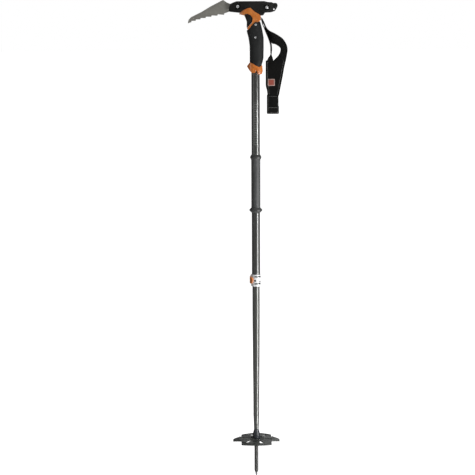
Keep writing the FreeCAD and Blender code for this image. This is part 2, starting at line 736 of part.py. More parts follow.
def build_grip_collar():
    corners = [
        (-11.9, 915.9, 1.0), (-18.6, 907.2, 1.4), (-12.8, 898.0, 2.0), (-7.8, 893.2, 1.5),
        (-3.2, 894.2, 1.0), (-0.8, 893.6, 0.3), (0.6, 899.0, 0.5), (3.0, 899.4, 0.5),
        (4.4, 892.2, 0.5), (8.2, 889.8, 1.5), (13.2, 891.0, 2.0), (15.4, 896.8, 2.0),
        (14.7, 904.7, 2.0), (14.4, 909.9, 0.5), (7.6, 905.3, 0.3),
    ]
    body = plate("grip_collar", corners, dim.collar_half_width * 2)
    cut_outside_oval(body, -1.6, 18.2, dim.collar_half_width.value, 903.0)
    cut_round(body, "XY_Plane", (0.0, 0.0), dim.upper_radius + 0.02, offset=903.0)
    finish(body, "grip_collar")


def build_grip_screws():
    """Two screws through the grip and the pick's leg, and the sleeve nuts they meet."""
    head_face = dim.grip_half_width - 0.3
    floor = dim.grip_half_width - 2.0
    screws, nuts = [], []
    for index, (x, z) in enumerate(((0.0, dim.upper_screw_height),
                                    (-0.5, dim.lower_screw_height))):
        head = rod(f"grip_screw_head_{index}", (x, -head_face, z), Vector(0, 1, 0),
                   2.3, head_face - floor)
        shank = rod(f"grip_screw_shank_{index}", (x, -floor, z), Vector(0, 1, 0),
                    dim.grip_screw_radius, floor + 6.0)
        point = rod(f"grip_screw_point_{index}", (x, 5.0, z), Vector(0, 1, 0), 1.2, 6.0)
        screws.append(fuse(f"grip_screw_{index}", [head, shank, point]))
        barrel = rod(f"grip_nut_barrel_{index}", (x, 6.02, z), Vector(0, 1, 0),
                     dim.grip_screw_radius, floor - 6.0)
        disc = rod(f"grip_nut_disc_{index}", (x, floor, z), Vector(0, 1, 0),
                   2.3, head_face - floor)
        thread = rod(f"grip_nut_thread_{index}", (x, 5.0, z), Vector(0, 1, 0), 1.22, 6.2)
        nuts.append(cut(f"grip_nut_{index}", fuse(f"grip_nut_blank_{index}", [barrel, disc]),
                        thread))
    finish(group("grip_screws", screws), "grip_screws")
    finish(group("grip_screw_nuts", nuts), "grip_screw_nuts")


# ---------------------------------------------------------------- pick and head

def pick_teeth():
    """Underside of the blade: seven hooked teeth whose pitch grows towards the head."""
    tips = []
    count, first_x, first_pitch, growth = 7, -135.8, 9.2, 0.95
    x = first_x
    for index in range(count):
        run = x - first_x
        tips.append((x, 1000.2 + 0.33 * run - 0.0016 * run * run))
        x += first_pitch + growth * index
    corners = []
    depth = 2.8
    for x, z in tips:
        corners.append((x, z, 0.3))
        corners.append((x + 0.6, z + depth, 0.5))
    return corners


def build_pick():
    leg_left, leg_right, leg_foot = -7.5, 3.5, 953.0
    blade = [
        (-143.1, 997.9, 0.6), (-141.4, 1005.2, 4.0), (-136.1, 1010.9, 6.0),
        (-114.8, 1021.1, 20.0), (-93.6, 1033.6, 30.0), (-68.2, 1046.5, 0.8), (-60.4, 1041.0, 1.5),
    ]
    tang = [
        (-54.0, 1038.5, 2.0), (33.0, 1038.5, 4.0), (33.0, 1025.0, 4.0), (leg_right, 1024.0, 2.0),
        (leg_right, leg_foot, 2.0), (leg_left, leg_foot, 2.0), (leg_left, 1026.8, 2.0),
        (-14.0, 1031.8, 2.0), (-30.0, 1026.0, 2.0), (-56.0, 1021.6, 2.0),
    ]
    teeth = pick_teeth()[::-1]
    body = plate("pick", blade + tang + teeth, dim.plate_thickness)
    holes = [
        (dim.front_bolt_x, dim.front_bolt_z, dim.bolt_radius + 0.05),
        (dim.rear_bolt_x, dim.rear_bolt_z, dim.bolt_radius + 0.05),
        (0.0, dim.upper_screw_height, dim.grip_screw_radius + 0.03),
        (-0.5, dim.lower_screw_height, dim.grip_screw_radius + 0.03),
    ]
    for x, z, radius in holes:
        cut_round(body, "XZ_Plane", (x, z), radius)
    finish(body, "pick")


def head_corners():
    """Side view of the black head, whose underside lies along the hook's upper edge."""
    return [
        (-55.8, 1021.8, 1.5), (-55.8, 1031.3, 6.0), (-50.9, 1039.3, 5.0), (-40.3, 1043.3, 10.0),
        (18.6, 1043.3, 10.0), (26.0, 1041.3, 10.0), (34.5, 1041.1, 2.0), (36.8, 1039.5, 2.0),
        (44.6, 1039.4, 2.0), (47.0, 1035.2, 2.0), (46.0, 1030.6, 4.0), (41.2, 1022.8, 3.0),
        (32.6, 1020.1, 5.0), (20.1, 1019.7, 3.0), (16.4, 1013.8, 1.0), (11.3, 1013.6, 0.2),
        (4.95, 1017.7, 6.0), (-2.45, 1021.9, 8.0), (-10.6, 1029.75, 1.2), (-17.9, 1028.3, 8.0),
        (-25.3, 1025.1, 8.0), (-33.0, 1019.4, 2.0), (-40.4, 1020.2, 4.0),
    ]


def build_head_shells():
    half = dim.head_half_width
    recess_depth = half - dim.recess_floor
    for name, side in (("head_shell_near", -1), ("head_shell_far", 1)):
        body = plate(name, head_corners(), half, half / 2 * side)
        slim, wide, far = 8.5 * side, 12.6 * side, 40.0 * side
        cut_outline(body, "XY_Plane", [(-70.0, far), (-70.0, 7.0 * side), (-56.0, slim),
                                       (-28.0, wide), (22.0, wide), (48.0, 7.4 * side),
                                       (70.0, 6.0 * side), (70.0, far)], offset=1030.0)
        tang_half = dim.plate_thickness / 2 + 0.03
        sketch = new_sketch(body, "XZ_Plane")
        draw_polygon(sketch, [(-70.0, 1000.0), (33.2, 1000.0), (33.2, 1038.7),
                              (-52.0, 1038.7), (-57.0, 1042.5), (-70.0, 1042.5)])
        pocket(body, sketch, tang_half * 2)
        for x, z in ((dim.front_bolt_x, dim.front_bolt_z), (dim.rear_bolt_x, dim.rear_bolt_z)):
            cut_round(body, "XZ_Plane", (x, z), dim.bolt_radius + 0.05)
            cut_round(body, "XZ_Plane", (x, z), dim.recess_radius, recess_depth * 2,
                      -half * side)
        cut_round(body, "XZ_Plane", (dim.tail_hole_x, dim.tail_hole_z), dim.tail_hole_radius)
        finish(body, name)


def build_head_bolts():
    """Two bolts through the head from the near side, and their sleeve nuts on the far side."""
    floor = dim.recess_floor
    crown = 2.3
    bolts, nuts = [], []
    spots = ((dim.front_bolt_x, dim.front_bolt_z), (dim.rear_bolt_x, dim.rear_bolt_z))
    for index, (x, z) in enumerate(spots):
        head = rod(f"head_bolt_crown_{index}", (x, -floor - crown, z), Vector(0, 1, 0),
                   dim.bolt_head_radius, crown)
        shank = rod(f"head_bolt_shank_{index}", (x, -floor, z), Vector(0, 1, 0),
                    dim.bolt_radius, floor + 2.5)
        point = rod(f"head_bolt_point_{index}", (x, 2.0, z), Vector(0, 1, 0), 1.6, 4.5)
        socket = rod(f"head_bolt_socket_{index}", (x, -floor - crown - 0.5, z),
                     Vector(0, 1, 0), 1.5, 2.0)
        blank = fuse(f"head_bolt_blank_{index}", [head, shank, point])
        bolts.append(cut(f"head_bolt_{index}", blank, socket))
        barrel = rod(f"head_nut_barrel_{index}", (x, 2.52, z), Vector(0, 1, 0),
                     dim.bolt_radius, floor - 2.5)
        disc = rod(f"head_nut_disc_{index}", (x, floor, z), Vector(0, 1, 0),
                   dim.bolt_head_radius, crown)
        thread = rod(f"head_nut_thread_{index}", (x, 2.0, z), Vector(0, 1, 0), 1.62, 4.8)
        nuts.append(cut(f"head_nut_{index}", fuse(f"head_nut_blank_{index}", [barrel, disc]),
                        thread))
    finish(group("head_bolts", bolts), "head_bolts")
    finish(group("head_nuts", nuts), "head_nuts")


# ---------------------------------------------------------------- wrist strap

def strip_corners(path, thickness):
    """Side view of a thin strip: the path offset by half the thickness to both sides."""
    left, right = [], []
    for index, (x, z) in enumerate(path):
        before = path[max(index - 1, 0)]
        after = path[min(index + 1, len(path) - 1)]
        along = Vector(after[0] - before[0], after[1] - before[1], 0).normalize()
        across = Vector(-along.y, along.x, 0) * (thickness / 2)
        left.append((x + across.x, z + across.y, 0.0))
        right.append((x - across.x, z - across.y, 0.0))
    return left + right[::-1]


def build_strap_pin():
    pin = rod("strap_pin", (dim.strap_pin_x, -dim.core_half_width + 1.2, dim.strap_pin_z),
              Vector(0, 1, 0), dim.strap_pin_radius, dim.core_half_width * 2 - 2.4)
    finish(pin, "strap_pin")


def build_strap_inner_leg():
    """The webbing loop round the pin, with the leg that hangs nearest the grip."""
    pin = Vector(dim.strap_pin_x.value, dim.strap_pin_z.value, 0)
    thickness = dim.webbing_thickness.value
    loop_radius = dim.strap_pin_radius.value + 0.15 + thickness / 2
    turns = [math.radians(angle) for angle in range(45, 271, 15)]
    path = [(21.6, 987.6), (18.8, 994.4), (16.8, 1001.2), (14.4, 1006.4), (11.7, 1009.2)]
    path += [(pin.x + loop_radius * math.cos(turn), pin.y + loop_radius * math.sin(turn))
             for turn in turns]
    path += [(11.4, 1005.9), (13.2, 1003.6), (14.2, 999.4), (16.0, 993.2), (19.5, 986.2),
             (23.2, 978.6), (28.2, 966.8), (32.6, 955.0), (33.3, 948.0), (33.3, 919.6)]
    body = plate("strap_inner_leg", strip_corners(path, thickness), dim.webbing_width)
    finish(body, "strap_inner_leg")


def build_strap_outer_leg():
    """The leg that arches away from the grip and comes back to the wrist pad."""
    corners = [
        (22.6, 987.4, 0.5), (26.5, 983.0, 6.0), (46.0, 976.0, 14.0), (58.5, 966.8, 14.0),
        (66.2, 952.0, 14.0), (68.4, 941.0, 12.0), (66.6, 929.0, 12.0), (64.4, 919.6, 0.5),
        (37.6, 919.6, 0.5), (51.5, 934.0, 7.0), (53.4, 943.0, 8.0), (47.0, 953.5, 8.0),
        (37.2, 957.6, 2.0), (34.6, 954.8, 0.5), (30.6, 963.4, 2.0), (24.9, 978.6, 2.0),
        (21.4, 986.4, 0.3),
    ]
    body = plate("strap_outer_leg", corners, dim.webbing_thickness * 2)
    finish(body, "strap_outer_leg")


def build_strap_pad():
    corners = [
        (22.0, 919.4, 2.0), (21.8, 866.0, 8.0), (25.4, 854.0, 4.0), (25.6, 846.7, 0.5),
        (49.8, 846.7, 0.5), (53.7, 869.8, 20.0), (58.0, 887.0, 20.0), (60.4, 904.0, 20.0),
        (64.4, 919.4, 1.0),
    ]
    body = plate("strap_pad", corners, dim.pad_thickness)
    finish(body, "strap_pad")


def build_strap_tab():
    left, right = 24.0, 49.8
    corners = [(left, dim.tab_foot.value, 1.5), (right, dim.tab_foot.value, 1.5),
               (right, dim.tab_top.value, 0.5), (left, dim.tab_top.value, 0.5)]
    body = plate("strap_tab", corners, dim.tab_thickness)
    finish(body, "strap_tab")


def build_strap_label():
    left, right, foot, top = 26.0, 41.0, 865.6, 880.4
    thickness = 0.8
    corners = [(left, foot, 0.5), (right, foot, 0.5), (right, top, 0.5), (left, top, 0.5)]
    body = plate("strap_label", corners, thickness,
                 -(dim.pad_thickness / 2 + thickness / 2 + 0.01))
    finish(body, "strap_label")


# ---------------------------------------------------------------- build, check and write

def check_and_write():
    doc.recompute()
    for feature in doc.Objects:
        if "Invalid" in feature.State or "Error" in feature.State:
            raise RuntimeError(f"{feature.Name} failed: {feature.State}")
    os.makedirs("parts", exist_ok=True)
    for piece in pieces:
        shape = piece.Shape
        if shape.isNull() or not shape.isValid() or shape.Volume <= 0:
            raise RuntimeError(f"{piece.Label} has no valid shape")
        shape.exportStep(f"parts/{piece.Label}.step")
        box = shape.BoundBox
        print(f"{piece.Label:18s} solids {len(shape.Solids)} volume {shape.Volume:9.1f} "
              f"x {box.XMin:7.1f} {box.XMax:7.1f} y {box.YMin:6.1f} {box.YMax:6.1f} "
              f"z {box.ZMin:7.1f} {box.ZMax:7.1f}")


build_carbide_tip()
build_ferrule()
build_basket_hub()
build_basket()
build_lower_shaft()
build_guide_plug()
build_upper_shaft()
build_shaft_plug()
build_clamp_band()
build_clamp_screw()
build_lever_pin()
build_lock_lever()
build_choke_sleeve()
build_sleeve_rings()
build_grip_core()
build_finger_pad()
build_grip_cover()
build_grip_collar()
build_grip_screws()
build_pick()
build_head_shells()
build_head_bolts()
build_strap_pin()
build_strap_inner_leg()
build_strap_outer_leg()
build_strap_pad()
build_strap_tab()
build_strap_label()
check_and_write()
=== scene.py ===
"""Looks of an adjustable pole with a self-arrest ice-axe head.

Every shape is worked out in millimetres in the frame of the CAD model and brought to metres
when its piece is made. +Z runs up the shaft, the pick points towards -X, and Y is square to
the pick's plate. The near side is -Y.
"""

import math

import bmesh
import bpy
from mathutils import Matrix, Vector


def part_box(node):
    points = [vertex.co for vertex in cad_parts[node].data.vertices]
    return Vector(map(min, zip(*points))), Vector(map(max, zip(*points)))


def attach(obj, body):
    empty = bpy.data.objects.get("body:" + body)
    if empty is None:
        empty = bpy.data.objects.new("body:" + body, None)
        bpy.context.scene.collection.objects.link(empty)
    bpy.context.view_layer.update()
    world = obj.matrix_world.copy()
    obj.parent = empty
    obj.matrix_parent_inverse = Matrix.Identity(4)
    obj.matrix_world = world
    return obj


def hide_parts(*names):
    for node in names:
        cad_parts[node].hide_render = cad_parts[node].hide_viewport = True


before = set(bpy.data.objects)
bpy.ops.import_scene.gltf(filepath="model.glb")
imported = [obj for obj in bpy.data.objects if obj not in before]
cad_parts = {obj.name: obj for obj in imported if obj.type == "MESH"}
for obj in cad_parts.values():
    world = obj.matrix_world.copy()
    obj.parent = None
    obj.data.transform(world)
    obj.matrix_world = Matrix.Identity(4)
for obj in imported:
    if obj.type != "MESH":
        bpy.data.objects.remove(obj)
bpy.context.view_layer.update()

MILLIMETRE = 0.001
SHARP_ANGLE = math.radians(32)


# ---------------------------------------------------------------- measuring and making

def node_box(node):
    """Lowest and highest corner of a CAD node, in millimetres."""
    low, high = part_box(node)
    return low / MILLIMETRE, high / MILLIMETRE


def make_piece(bm, name, body, material, replaced=()):
    """Bring a finished shape to metres and make it a piece that rides on a body."""
    bmesh.ops.remove_doubles(bm, verts=bm.verts[:], dist=0.0005)
    bmesh.ops.recalc_face_normals(bm, faces=bm.faces[:])
    bmesh.ops.scale(bm, verts=bm.verts[:], vec=(MILLIMETRE,) * 3)
    for face in bm.faces:
        face.smooth = True
    for edge in bm.edges:
        edge.smooth = len(edge.link_faces) == 2 and edge.calc_face_angle(0.0) < SHARP_ANGLE
    mesh = bpy.data.meshes.new(name)
    bm.to_mesh(mesh)
    bm.free()
    mesh.materials.append(material)
    piece = bpy.data.objects.new(name, mesh)
    bpy.context.scene.collection.objects.link(piece)
    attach(piece, body)
    if replaced:
        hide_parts(*replaced)
    return piece


def outline_face(bm, corners):
    """A flat face in the XZ plane from (x, z, radius) corners, each rounded by its radius."""
    spots = [Vector((x, 0.0, z)) for x, z, _ in corners]
    ring = [bm.verts.new(spot) for spot in spots]
    bm.faces.new(ring)
    for index, vert in enumerate(ring):
        radius = corners[index][2]
        back = (spots[index - 1] - spots[index]).normalized()
        ahead = (spots[(index + 1) % len(spots)] - spots[index]).normalized()
        half = back.angle(ahead) / 2
        turn = math.pi - 2 * half
        if radius <= 0 or turn < 0.05:
            continue
        steps = max(2, math.ceil(math.degrees(turn) / 11))
        bmesh.ops.bevel(bm, geom=[vert], offset=radius / math.tan(half), offset_type="OFFSET",
                        segments=steps, profile=0.5, affect="VERTICES", material=-1)


def plate_shape(corners, start, stop):
    """A flat plate in the XZ plane that reaches from y = start to y = stop."""
    bm = bmesh.new()
    outline_face(bm, corners)
    bmesh.ops.translate(bm, verts=bm.verts[:], vec=(0.0, start, 0.0))
    made = bmesh.ops.extrude_face_region(bm, geom=bm.faces[:])
    far = [item for item in made["geom"] if isinstance(item, bmesh.types.BMVert)]
    bmesh.ops.translate(bm, verts=far, vec=(0.0, stop - start, 0.0))
    bmesh.ops.recalc_face_normals(bm, faces=bm.faces[:])
    return bm


def slice_across(bm, places, axis):
    """Cut extra edges through a shape, square to one axis, so that it can be bent smoothly."""
    normal = Vector((0.0, 0.0, 0.0))
    normal[axis] = 1.0
    for place in places:
        everything = bm.verts[:] + bm.edges[:] + bm.faces[:]
        bmesh.ops.bisect_plane(bm, geom=everything, dist=0.0001, plane_co=normal * place,
                               plane_no=normal)


def side_rim(bm, lowest=0.0):
    """Edges between the flat sides of a plate and its rim, further out than lowest in Y."""
    rim = []
    for edge in bm.edges:
        if len(edge.link_faces) != 2 or abs(edge.verts[0].co.y) < lowest:
            continue
        flat = sorted(abs(face.normal.y) for face in edge.link_faces)
        if flat[0] < 0.6 and flat[1] > 0.8:
            rim.append(edge)
    return rim


def soften(bm, edges, width, segments=4):
    """Round off edges."""
    bmesh.ops.bevel(bm, geom=edges, offset=width, offset_type="OFFSET", segments=segments,
                    profile=0.5, affect="EDGES", material=-1, clamp_overlap=True)


def turned_shape(profile, steps=72):
    """A round shape from (radius, height) points turned about the Z axis."""
    bm = bmesh.new()
    ring = [bm.verts.new((radius, 0.0, height)) for radius, height in profile]
    edges = [bm.edges.new(pair) for pair in zip(ring, ring[1:])]
    if profile[0][0] > 0 and profile[-1][0] > 0:
        edges.append(bm.edges.new((ring[-1], ring[0])))
    bmesh.ops.spin(bm, geom=ring + edges, cent=(0, 0, 0), axis=(0, 0, 1), dvec=(0, 0, 0),
                   angle=math.tau, steps=steps, use_merge=True, use_duplicate=False)
    bmesh.ops.remove_doubles(bm, verts=bm.verts[:], dist=0.0005)
    bmesh.ops.recalc_face_normals(bm, faces=bm.faces[:])
    return bm


def barrel_shape(centre, direction, radius, length, sides=40, bevel=0.0):
    """A short round bar about a centre, along a direction."""
    bm = bmesh.new()
    bmesh.ops.create_cone(bm, cap_ends=True, segments=sides, radius1=radius, radius2=radius,
                          depth=length)
    if bevel:
        rims = [edge for edge in bm.edges if abs(edge.verts[0].co.z - edge.verts[1].co.z) < 0.001]
        soften(bm, rims, bevel, 3)
    turn = Vector((0, 0, 1)).rotation_difference(Vector(direction)).to_matrix().to_4x4()
    bmesh.ops.transform(bm, matrix=Matrix.Translation(centre) @ turn, verts=bm.verts[:])
    return bm


def block_shape(low, high, bevel=0.0, turn=0.0):
    """A block between two corners, its edges rounded, turned in the XZ plane by degrees."""
    low, high = Vector(low), Vector(high)
    bm = bmesh.new()
    bmesh.ops.create_cube(bm, size=1.0)
    bmesh.ops.scale(bm, verts=bm.verts[:], vec=high - low)
    if bevel:
        soften(bm, bm.edges[:], bevel, 3)
    spin = Matrix.Rotation(math.radians(-turn), 4, "Y")
    bmesh.ops.transform(bm, matrix=Matrix.Translation((low + high) / 2) @ spin,
                        verts=bm.verts[:])
    return bm


def add_shape(bm, other):
    """Put another shape into this one as a separate shell."""
    mesh = bpy.data.meshes.new("shell")
    other.to_mesh(mesh)
    other.free()
    bm.from_mesh(mesh)
    bpy.data.meshes.remove(mesh)


def combine(bm, other, operation="DIFFERENCE"):
    """Cut another shape out of this one, or join it, and give back the result."""
    objects = []
    for shape in (bm, other):
        bmesh.ops.recalc_face_normals(shape, faces=shape.faces[:])
        mesh = bpy.data.meshes.new("blank")
        shape.to_mesh(mesh)
        shape.free()
        blank = bpy.data.objects.new("blank", mesh)
        bpy.context.scene.collection.objects.link(blank)
        objects.append(blank)
    base, tool = objects
    modifier = base.modifiers.new("combine", "BOOLEAN")
    modifier.operation = operation
    modifier.solver = "EXACT"
    modifier.object = tool
    bpy.context.view_layer.update()
    evaluated = base.evaluated_get(bpy.context.evaluated_depsgraph_get())
    result = bmesh.new()
    result.from_mesh(evaluated.to_mesh())
    evaluated.to_mesh_clear()
    for blank in objects:
        mesh = blank.data
        bpy.data.objects.remove(blank)
        bpy.data.meshes.remove(mesh)
    bmesh.ops.remove_doubles(result, verts=result.verts[:], dist=0.0005)
    return result


def smooth_path(points, steps):
    """Places along a smooth curve through every given point, with the same steps between."""
    spots = [Vector(point) for point in points]
    held = [spots[0] * 2 - spots[1]] + spots + [spots[-1] * 2 - spots[-2]]
    path = []
    for before, start, stop, after in zip(held, held[1:], held[2:], held[3:]):
        for step in range(steps):
            share = step / steps
            path.append(0.5 * (start * 2 + (stop - before) * share
                               + (before * 2 - start * 5 + stop * 4 - after) * share ** 2
                               + (start * 3 - before - stop * 3 + after) * share ** 3))
    path.append(spots[-1])
    return path


# ---------------------------------------------------------------- shader effects

def add_node(tree, kind, **values):
    """Add a shader node; values set its properties, or its inputs by name."""
    node = tree.nodes.new(kind)
    for key, value in values.items():
        if hasattr(node, key):
            setattr(node, key, value)
        else:
            node.inputs[key.replace("_", " ")].default_value = value
    return node


def new_effect(name, inputs, outputs):
    """An empty shader group with named number inputs and outputs."""
    tree = bpy.data.node_groups.new(name, "ShaderNodeTree")
    for socket, default in inputs.items():
        made = tree.interface.new_socket(name=socket, in_out="INPUT",
                                         socket_type="NodeSocketFloat")
        made.default_value = default
    for socket in outputs:
        tree.interface.new_socket(name=socket, in_out="OUTPUT", socket_type="NodeSocketFloat")
    return tree, tree.nodes.new("NodeGroupInput"), tree.nodes.new("NodeGroupOutput")


def calculate(tree, operation, first, second=None, clamp=False):
    """One arithmetic step between sockets or numbers."""
    node = tree.nodes.new("ShaderNodeMath")
    node.operation = operation
    node.use_clamp = clamp
    for index, value in enumerate((first, second)):
        if isinstance(value, bpy.types.NodeSocket):
            tree.links.new(value, node.inputs[index])
        elif value is not None:
            node.inputs[index].default_value = value
    return node.outputs[0]


def noise(tree, vector, scale, detail=3.0, roughness=0.6):
    node = add_node(tree, "ShaderNodeTexNoise", Detail=detail, Roughness=roughness)
    tree.links.new(vector, node.inputs["Vector"])
    if isinstance(scale, bpy.types.NodeSocket):
        tree.links.new(scale, node.inputs["Scale"])
    else:
        node.inputs["Scale"].default_value = scale
    return node.outputs["Fac"]


def stretch(tree, vector, factors, angle=0.0):
    """Turn a pattern about Y, then stretch it."""
    node = tree.nodes.new("ShaderNodeMapping")
    node.vector_type = "TEXTURE"
    node.inputs["Scale"].default_value = factors
    node.inputs["Rotation"].default_value = (0.0, angle, 0.0)
    tree.links.new(vector, node.inputs["Vector"])
    return node.outputs["Vector"]


def object_place(tree):
    """Each point's place in its object's own coordinates, in metres."""
    return tree.nodes.new("ShaderNodeTexCoord").outputs["Object"]


def split_axes(tree, vector):
    """The X, Y and Z of a vector as separate sockets."""
    node = tree.nodes.new("ShaderNodeSeparateXYZ")
    tree.links.new(vector, node.inputs[0])
    return node.outputs


def above_floor(tree, value, floor, gain):
    """How far a value rises above a floor, times a gain, held between nought and one."""
    return calculate(tree, "MULTIPLY", calculate(tree, "SUBTRACT", value, floor), gain,
                     clamp=True)


def band(tree, value, low, high):
    """A mask that is one between low and high."""
    above = calculate(tree, "GREATER_THAN", value, low)
    below = calculate(tree, "LESS_THAN", value, high)
    return calculate(tree, "MULTIPLY", above, below)


def make_grain_effect():
    """Fine moulded or blasted grain, with slow patches of handling over it."""
    tree, given, result = new_effect("Grain", {"Scale": 900.0}, ("Height", "Patches"))
    place = object_place(tree)
    tree.links.new(noise(tree, place, given.outputs["Scale"], 4.0), result.inputs["Height"])
    broad = noise(tree, place, 38.0, 5.0, 0.65)
    tree.links.new(above_floor(tree, broad, 0.38, 3.2), result.inputs["Patches"])
    return tree


def make_scuff_effect():
    """Short scratches that gather in places."""
    tree, given, result = new_effect("Scuffs", {"Scale": 260.0, "Amount": 0.5}, ("Mask",))
    place = object_place(tree)
    masks = []
    for angle, reach in ((0.5, (6.0, 1.0, 0.8)), (-0.9, (0.9, 1.0, 7.0))):
        lines = noise(tree, stretch(tree, place, reach, angle), given.outputs["Scale"], 2.0)
        masks.append(above_floor(tree, lines, 0.62, 9.0))
    gather = noise(tree, place, 55.0, 3.0)
    near = above_floor(tree, gather, 0.42, 4.0)
    both = calculate(tree, "ADD", masks[0], masks[1], clamp=True)
    mask = calculate(tree, "MULTIPLY", calculate(tree, "MULTIPLY", both, near),
                     given.outputs["Amount"])
    tree.links.new(mask, result.inputs["Mask"])
    return tree


def make_weave_effect():
    """Woven tape: over-and-under yarns laid along the piece's own UV map, in millimetres."""
    tree, given, result = new_effect("Weave", {"Yarn": 1.1}, ("Height", "Shade"))
    place = tree.nodes.new("ShaderNodeUVMap").outputs["UV"]
    axes = split_axes(tree, place)
    turns = calculate(tree, "DIVIDE", math.tau / 2, given.outputs["Yarn"])
    across = calculate(tree, "MULTIPLY", axes["X"], turns)
    along = calculate(tree, "MULTIPLY", axes["Y"], turns)
    diagonal = calculate(tree, "ADD", across, along)
    warp = calculate(tree, "ABSOLUTE", calculate(tree, "SINE", across))
    weft = calculate(tree, "ABSOLUTE", calculate(tree, "SINE", along))
    over = calculate(tree, "GREATER_THAN", calculate(tree, "SINE", diagonal), 0.0)
    first = calculate(tree, "MULTIPLY", warp, over)
    second = calculate(tree, "MULTIPLY", weft, calculate(tree, "SUBTRACT", 1.0, over))
    height = calculate(tree, "ADD", first, second)
    tree.links.new(height, result.inputs["Height"])
    fuzz = noise(tree, place, 3.0, 4.0)
    tree.links.new(calculate(tree, "MULTIPLY", height, fuzz), result.inputs["Shade"])
    return tree


GRAIN = make_grain_effect()
SCUFFS = make_scuff_effect()
WEAVE = make_weave_effect()


# ---------------------------------------------------------------- materials

def use_effect(tree, effect, **values):
    node = tree.nodes.new("ShaderNodeGroup")
    node.node_tree = effect
    for key, value in values.items():
        node.inputs[key].default_value = value
    return node


def new_material(name, **constants):
    """A material whose Principled shader has these constant inputs."""
    material = bpy.data.materials.new(name)
    material.use_nodes = True
    tree = material.node_tree
    shader = tree.nodes["Principled BSDF"]
    for key, value in constants.items():
        shader.inputs[key.replace("_", " ")].default_value = value
    return material, tree, shader


def blend_colours(tree, mask, first, second):
    """A colour between two, by a mask; each colour is a tuple or a socket."""
    node = tree.nodes.new("ShaderNodeMix")
    node.data_type = "RGBA"
    tree.links.new(mask, node.inputs[0])
    for socket, colour in ((node.inputs[6], first), (node.inputs[7], second)):
        if isinstance(colour, bpy.types.NodeSocket):
            tree.links.new(colour, socket)
        else:
            socket.default_value = (*colour, 1.0)
    return node.outputs[2]


def blend_values(tree, mask, first, second):
    """A number between two, by a mask."""
    node = add_node(tree, "ShaderNodeMapRange")
    tree.links.new(mask, node.inputs["Value"])
    node.inputs["To Min"].default_value = first
    node.inputs["To Max"].default_value = second
    return node.outputs["Result"]


def bump(tree, shader, height, strength, distance):
    node = add_node(tree, "ShaderNodeBump", Strength=strength, Distance=distance)
    tree.links.new(height, node.inputs["Height"])
    tree.links.new(node.outputs["Normal"], shader.inputs["Normal"])


def grained_material(name, colour, handled, worn, roughness, grain, depth, scuffs=0.5,
                     **constants):
    """A solid finish: base colour, handled patches, worn scratches and a fine grain."""
    material, tree, shader = new_material(name, **constants)
    grain_node = use_effect(tree, GRAIN, Scale=grain)
    scuff_node = use_effect(tree, SCUFFS, Amount=scuffs)
    base = blend_colours(tree, grain_node.outputs["Patches"], colour, handled)
    final = blend_colours(tree, scuff_node.outputs["Mask"], base, worn)
    tree.links.new(final, shader.inputs["Base Color"])
    soft = blend_values(tree, grain_node.outputs["Patches"], roughness[0], roughness[1])
    marred = calculate(tree, "MULTIPLY", scuff_node.outputs["Mask"], 0.15)
    tree.links.new(calculate(tree, "ADD", soft, marred, clamp=True), shader.inputs["Roughness"])
    bump(tree, shader, grain_node.outputs["Height"], 0.35, depth)
    return material


def make_pick_steel():
    """Blasted steel plate with faint grinding lines along the blade."""
    material, tree, shader = new_material("pick_steel", Metallic=0.75)
    place = object_place(tree)
    lines = noise(tree, stretch(tree, place, (14.0, 1.0, 1.0), math.radians(-30)), 620.0, 3.0)
    grain_node = use_effect(tree, GRAIN, Scale=1300.0)
    scuff_node = use_effect(tree, SCUFFS, Amount=0.55)
    base = blend_colours(tree, grain_node.outputs["Patches"], (0.40, 0.385, 0.34),
                         (0.47, 0.455, 0.405))
    lined = blend_colours(tree, calculate(tree, "MULTIPLY", lines, 0.5), base,
                          (0.55, 0.54, 0.50))
    final = blend_colours(tree, scuff_node.outputs["Mask"], lined, (0.26, 0.25, 0.23))
    tree.links.new(final, shader.inputs["Base Color"])
    tree.links.new(blend_values(tree, lines, 0.36, 0.52), shader.inputs["Roughness"])
    bump(tree, shader, lines, 0.25, 0.00008)
    return material


def make_tube_finish(name, colour, marked):
    """Anodised tube with fine drawn lines; marked adds a plain printed length scale."""
    material, tree, shader = new_material(name, Metallic=0.65, Coat_Weight=0.6,
                                          Coat_Roughness=0.14)
    place = object_place(tree)
    lines = noise(tree, stretch(tree, place, (1.0, 1.0, 60.0)), 1500.0, 2.0)
    grain_node = use_effect(tree, GRAIN, Scale=1500.0)
    scuff_node = use_effect(tree, SCUFFS, Amount=0.35)
    lighter = tuple(part * 1.25 for part in colour)
    base = blend_colours(tree, grain_node.outputs["Patches"], colour, lighter)
    base = blend_colours(tree, calculate(tree, "MULTIPLY", lines, 0.3), base,
                         tuple(part * 1.6 for part in colour))
    worn = blend_colours(tree, scuff_node.outputs["Mask"], base, (0.30, 0.30, 0.29))
    if marked:
        worn = blend_colours(tree, scale_marks(tree, place), worn, (0.20, 0.205, 0.20))
    tree.links.new(worn, shader.inputs["Base Color"])
    tree.links.new(blend_values(tree, lines, 0.26, 0.42), shader.inputs["Roughness"])
    bump(tree, shader, lines, 0.12, 0.00004)
    return material


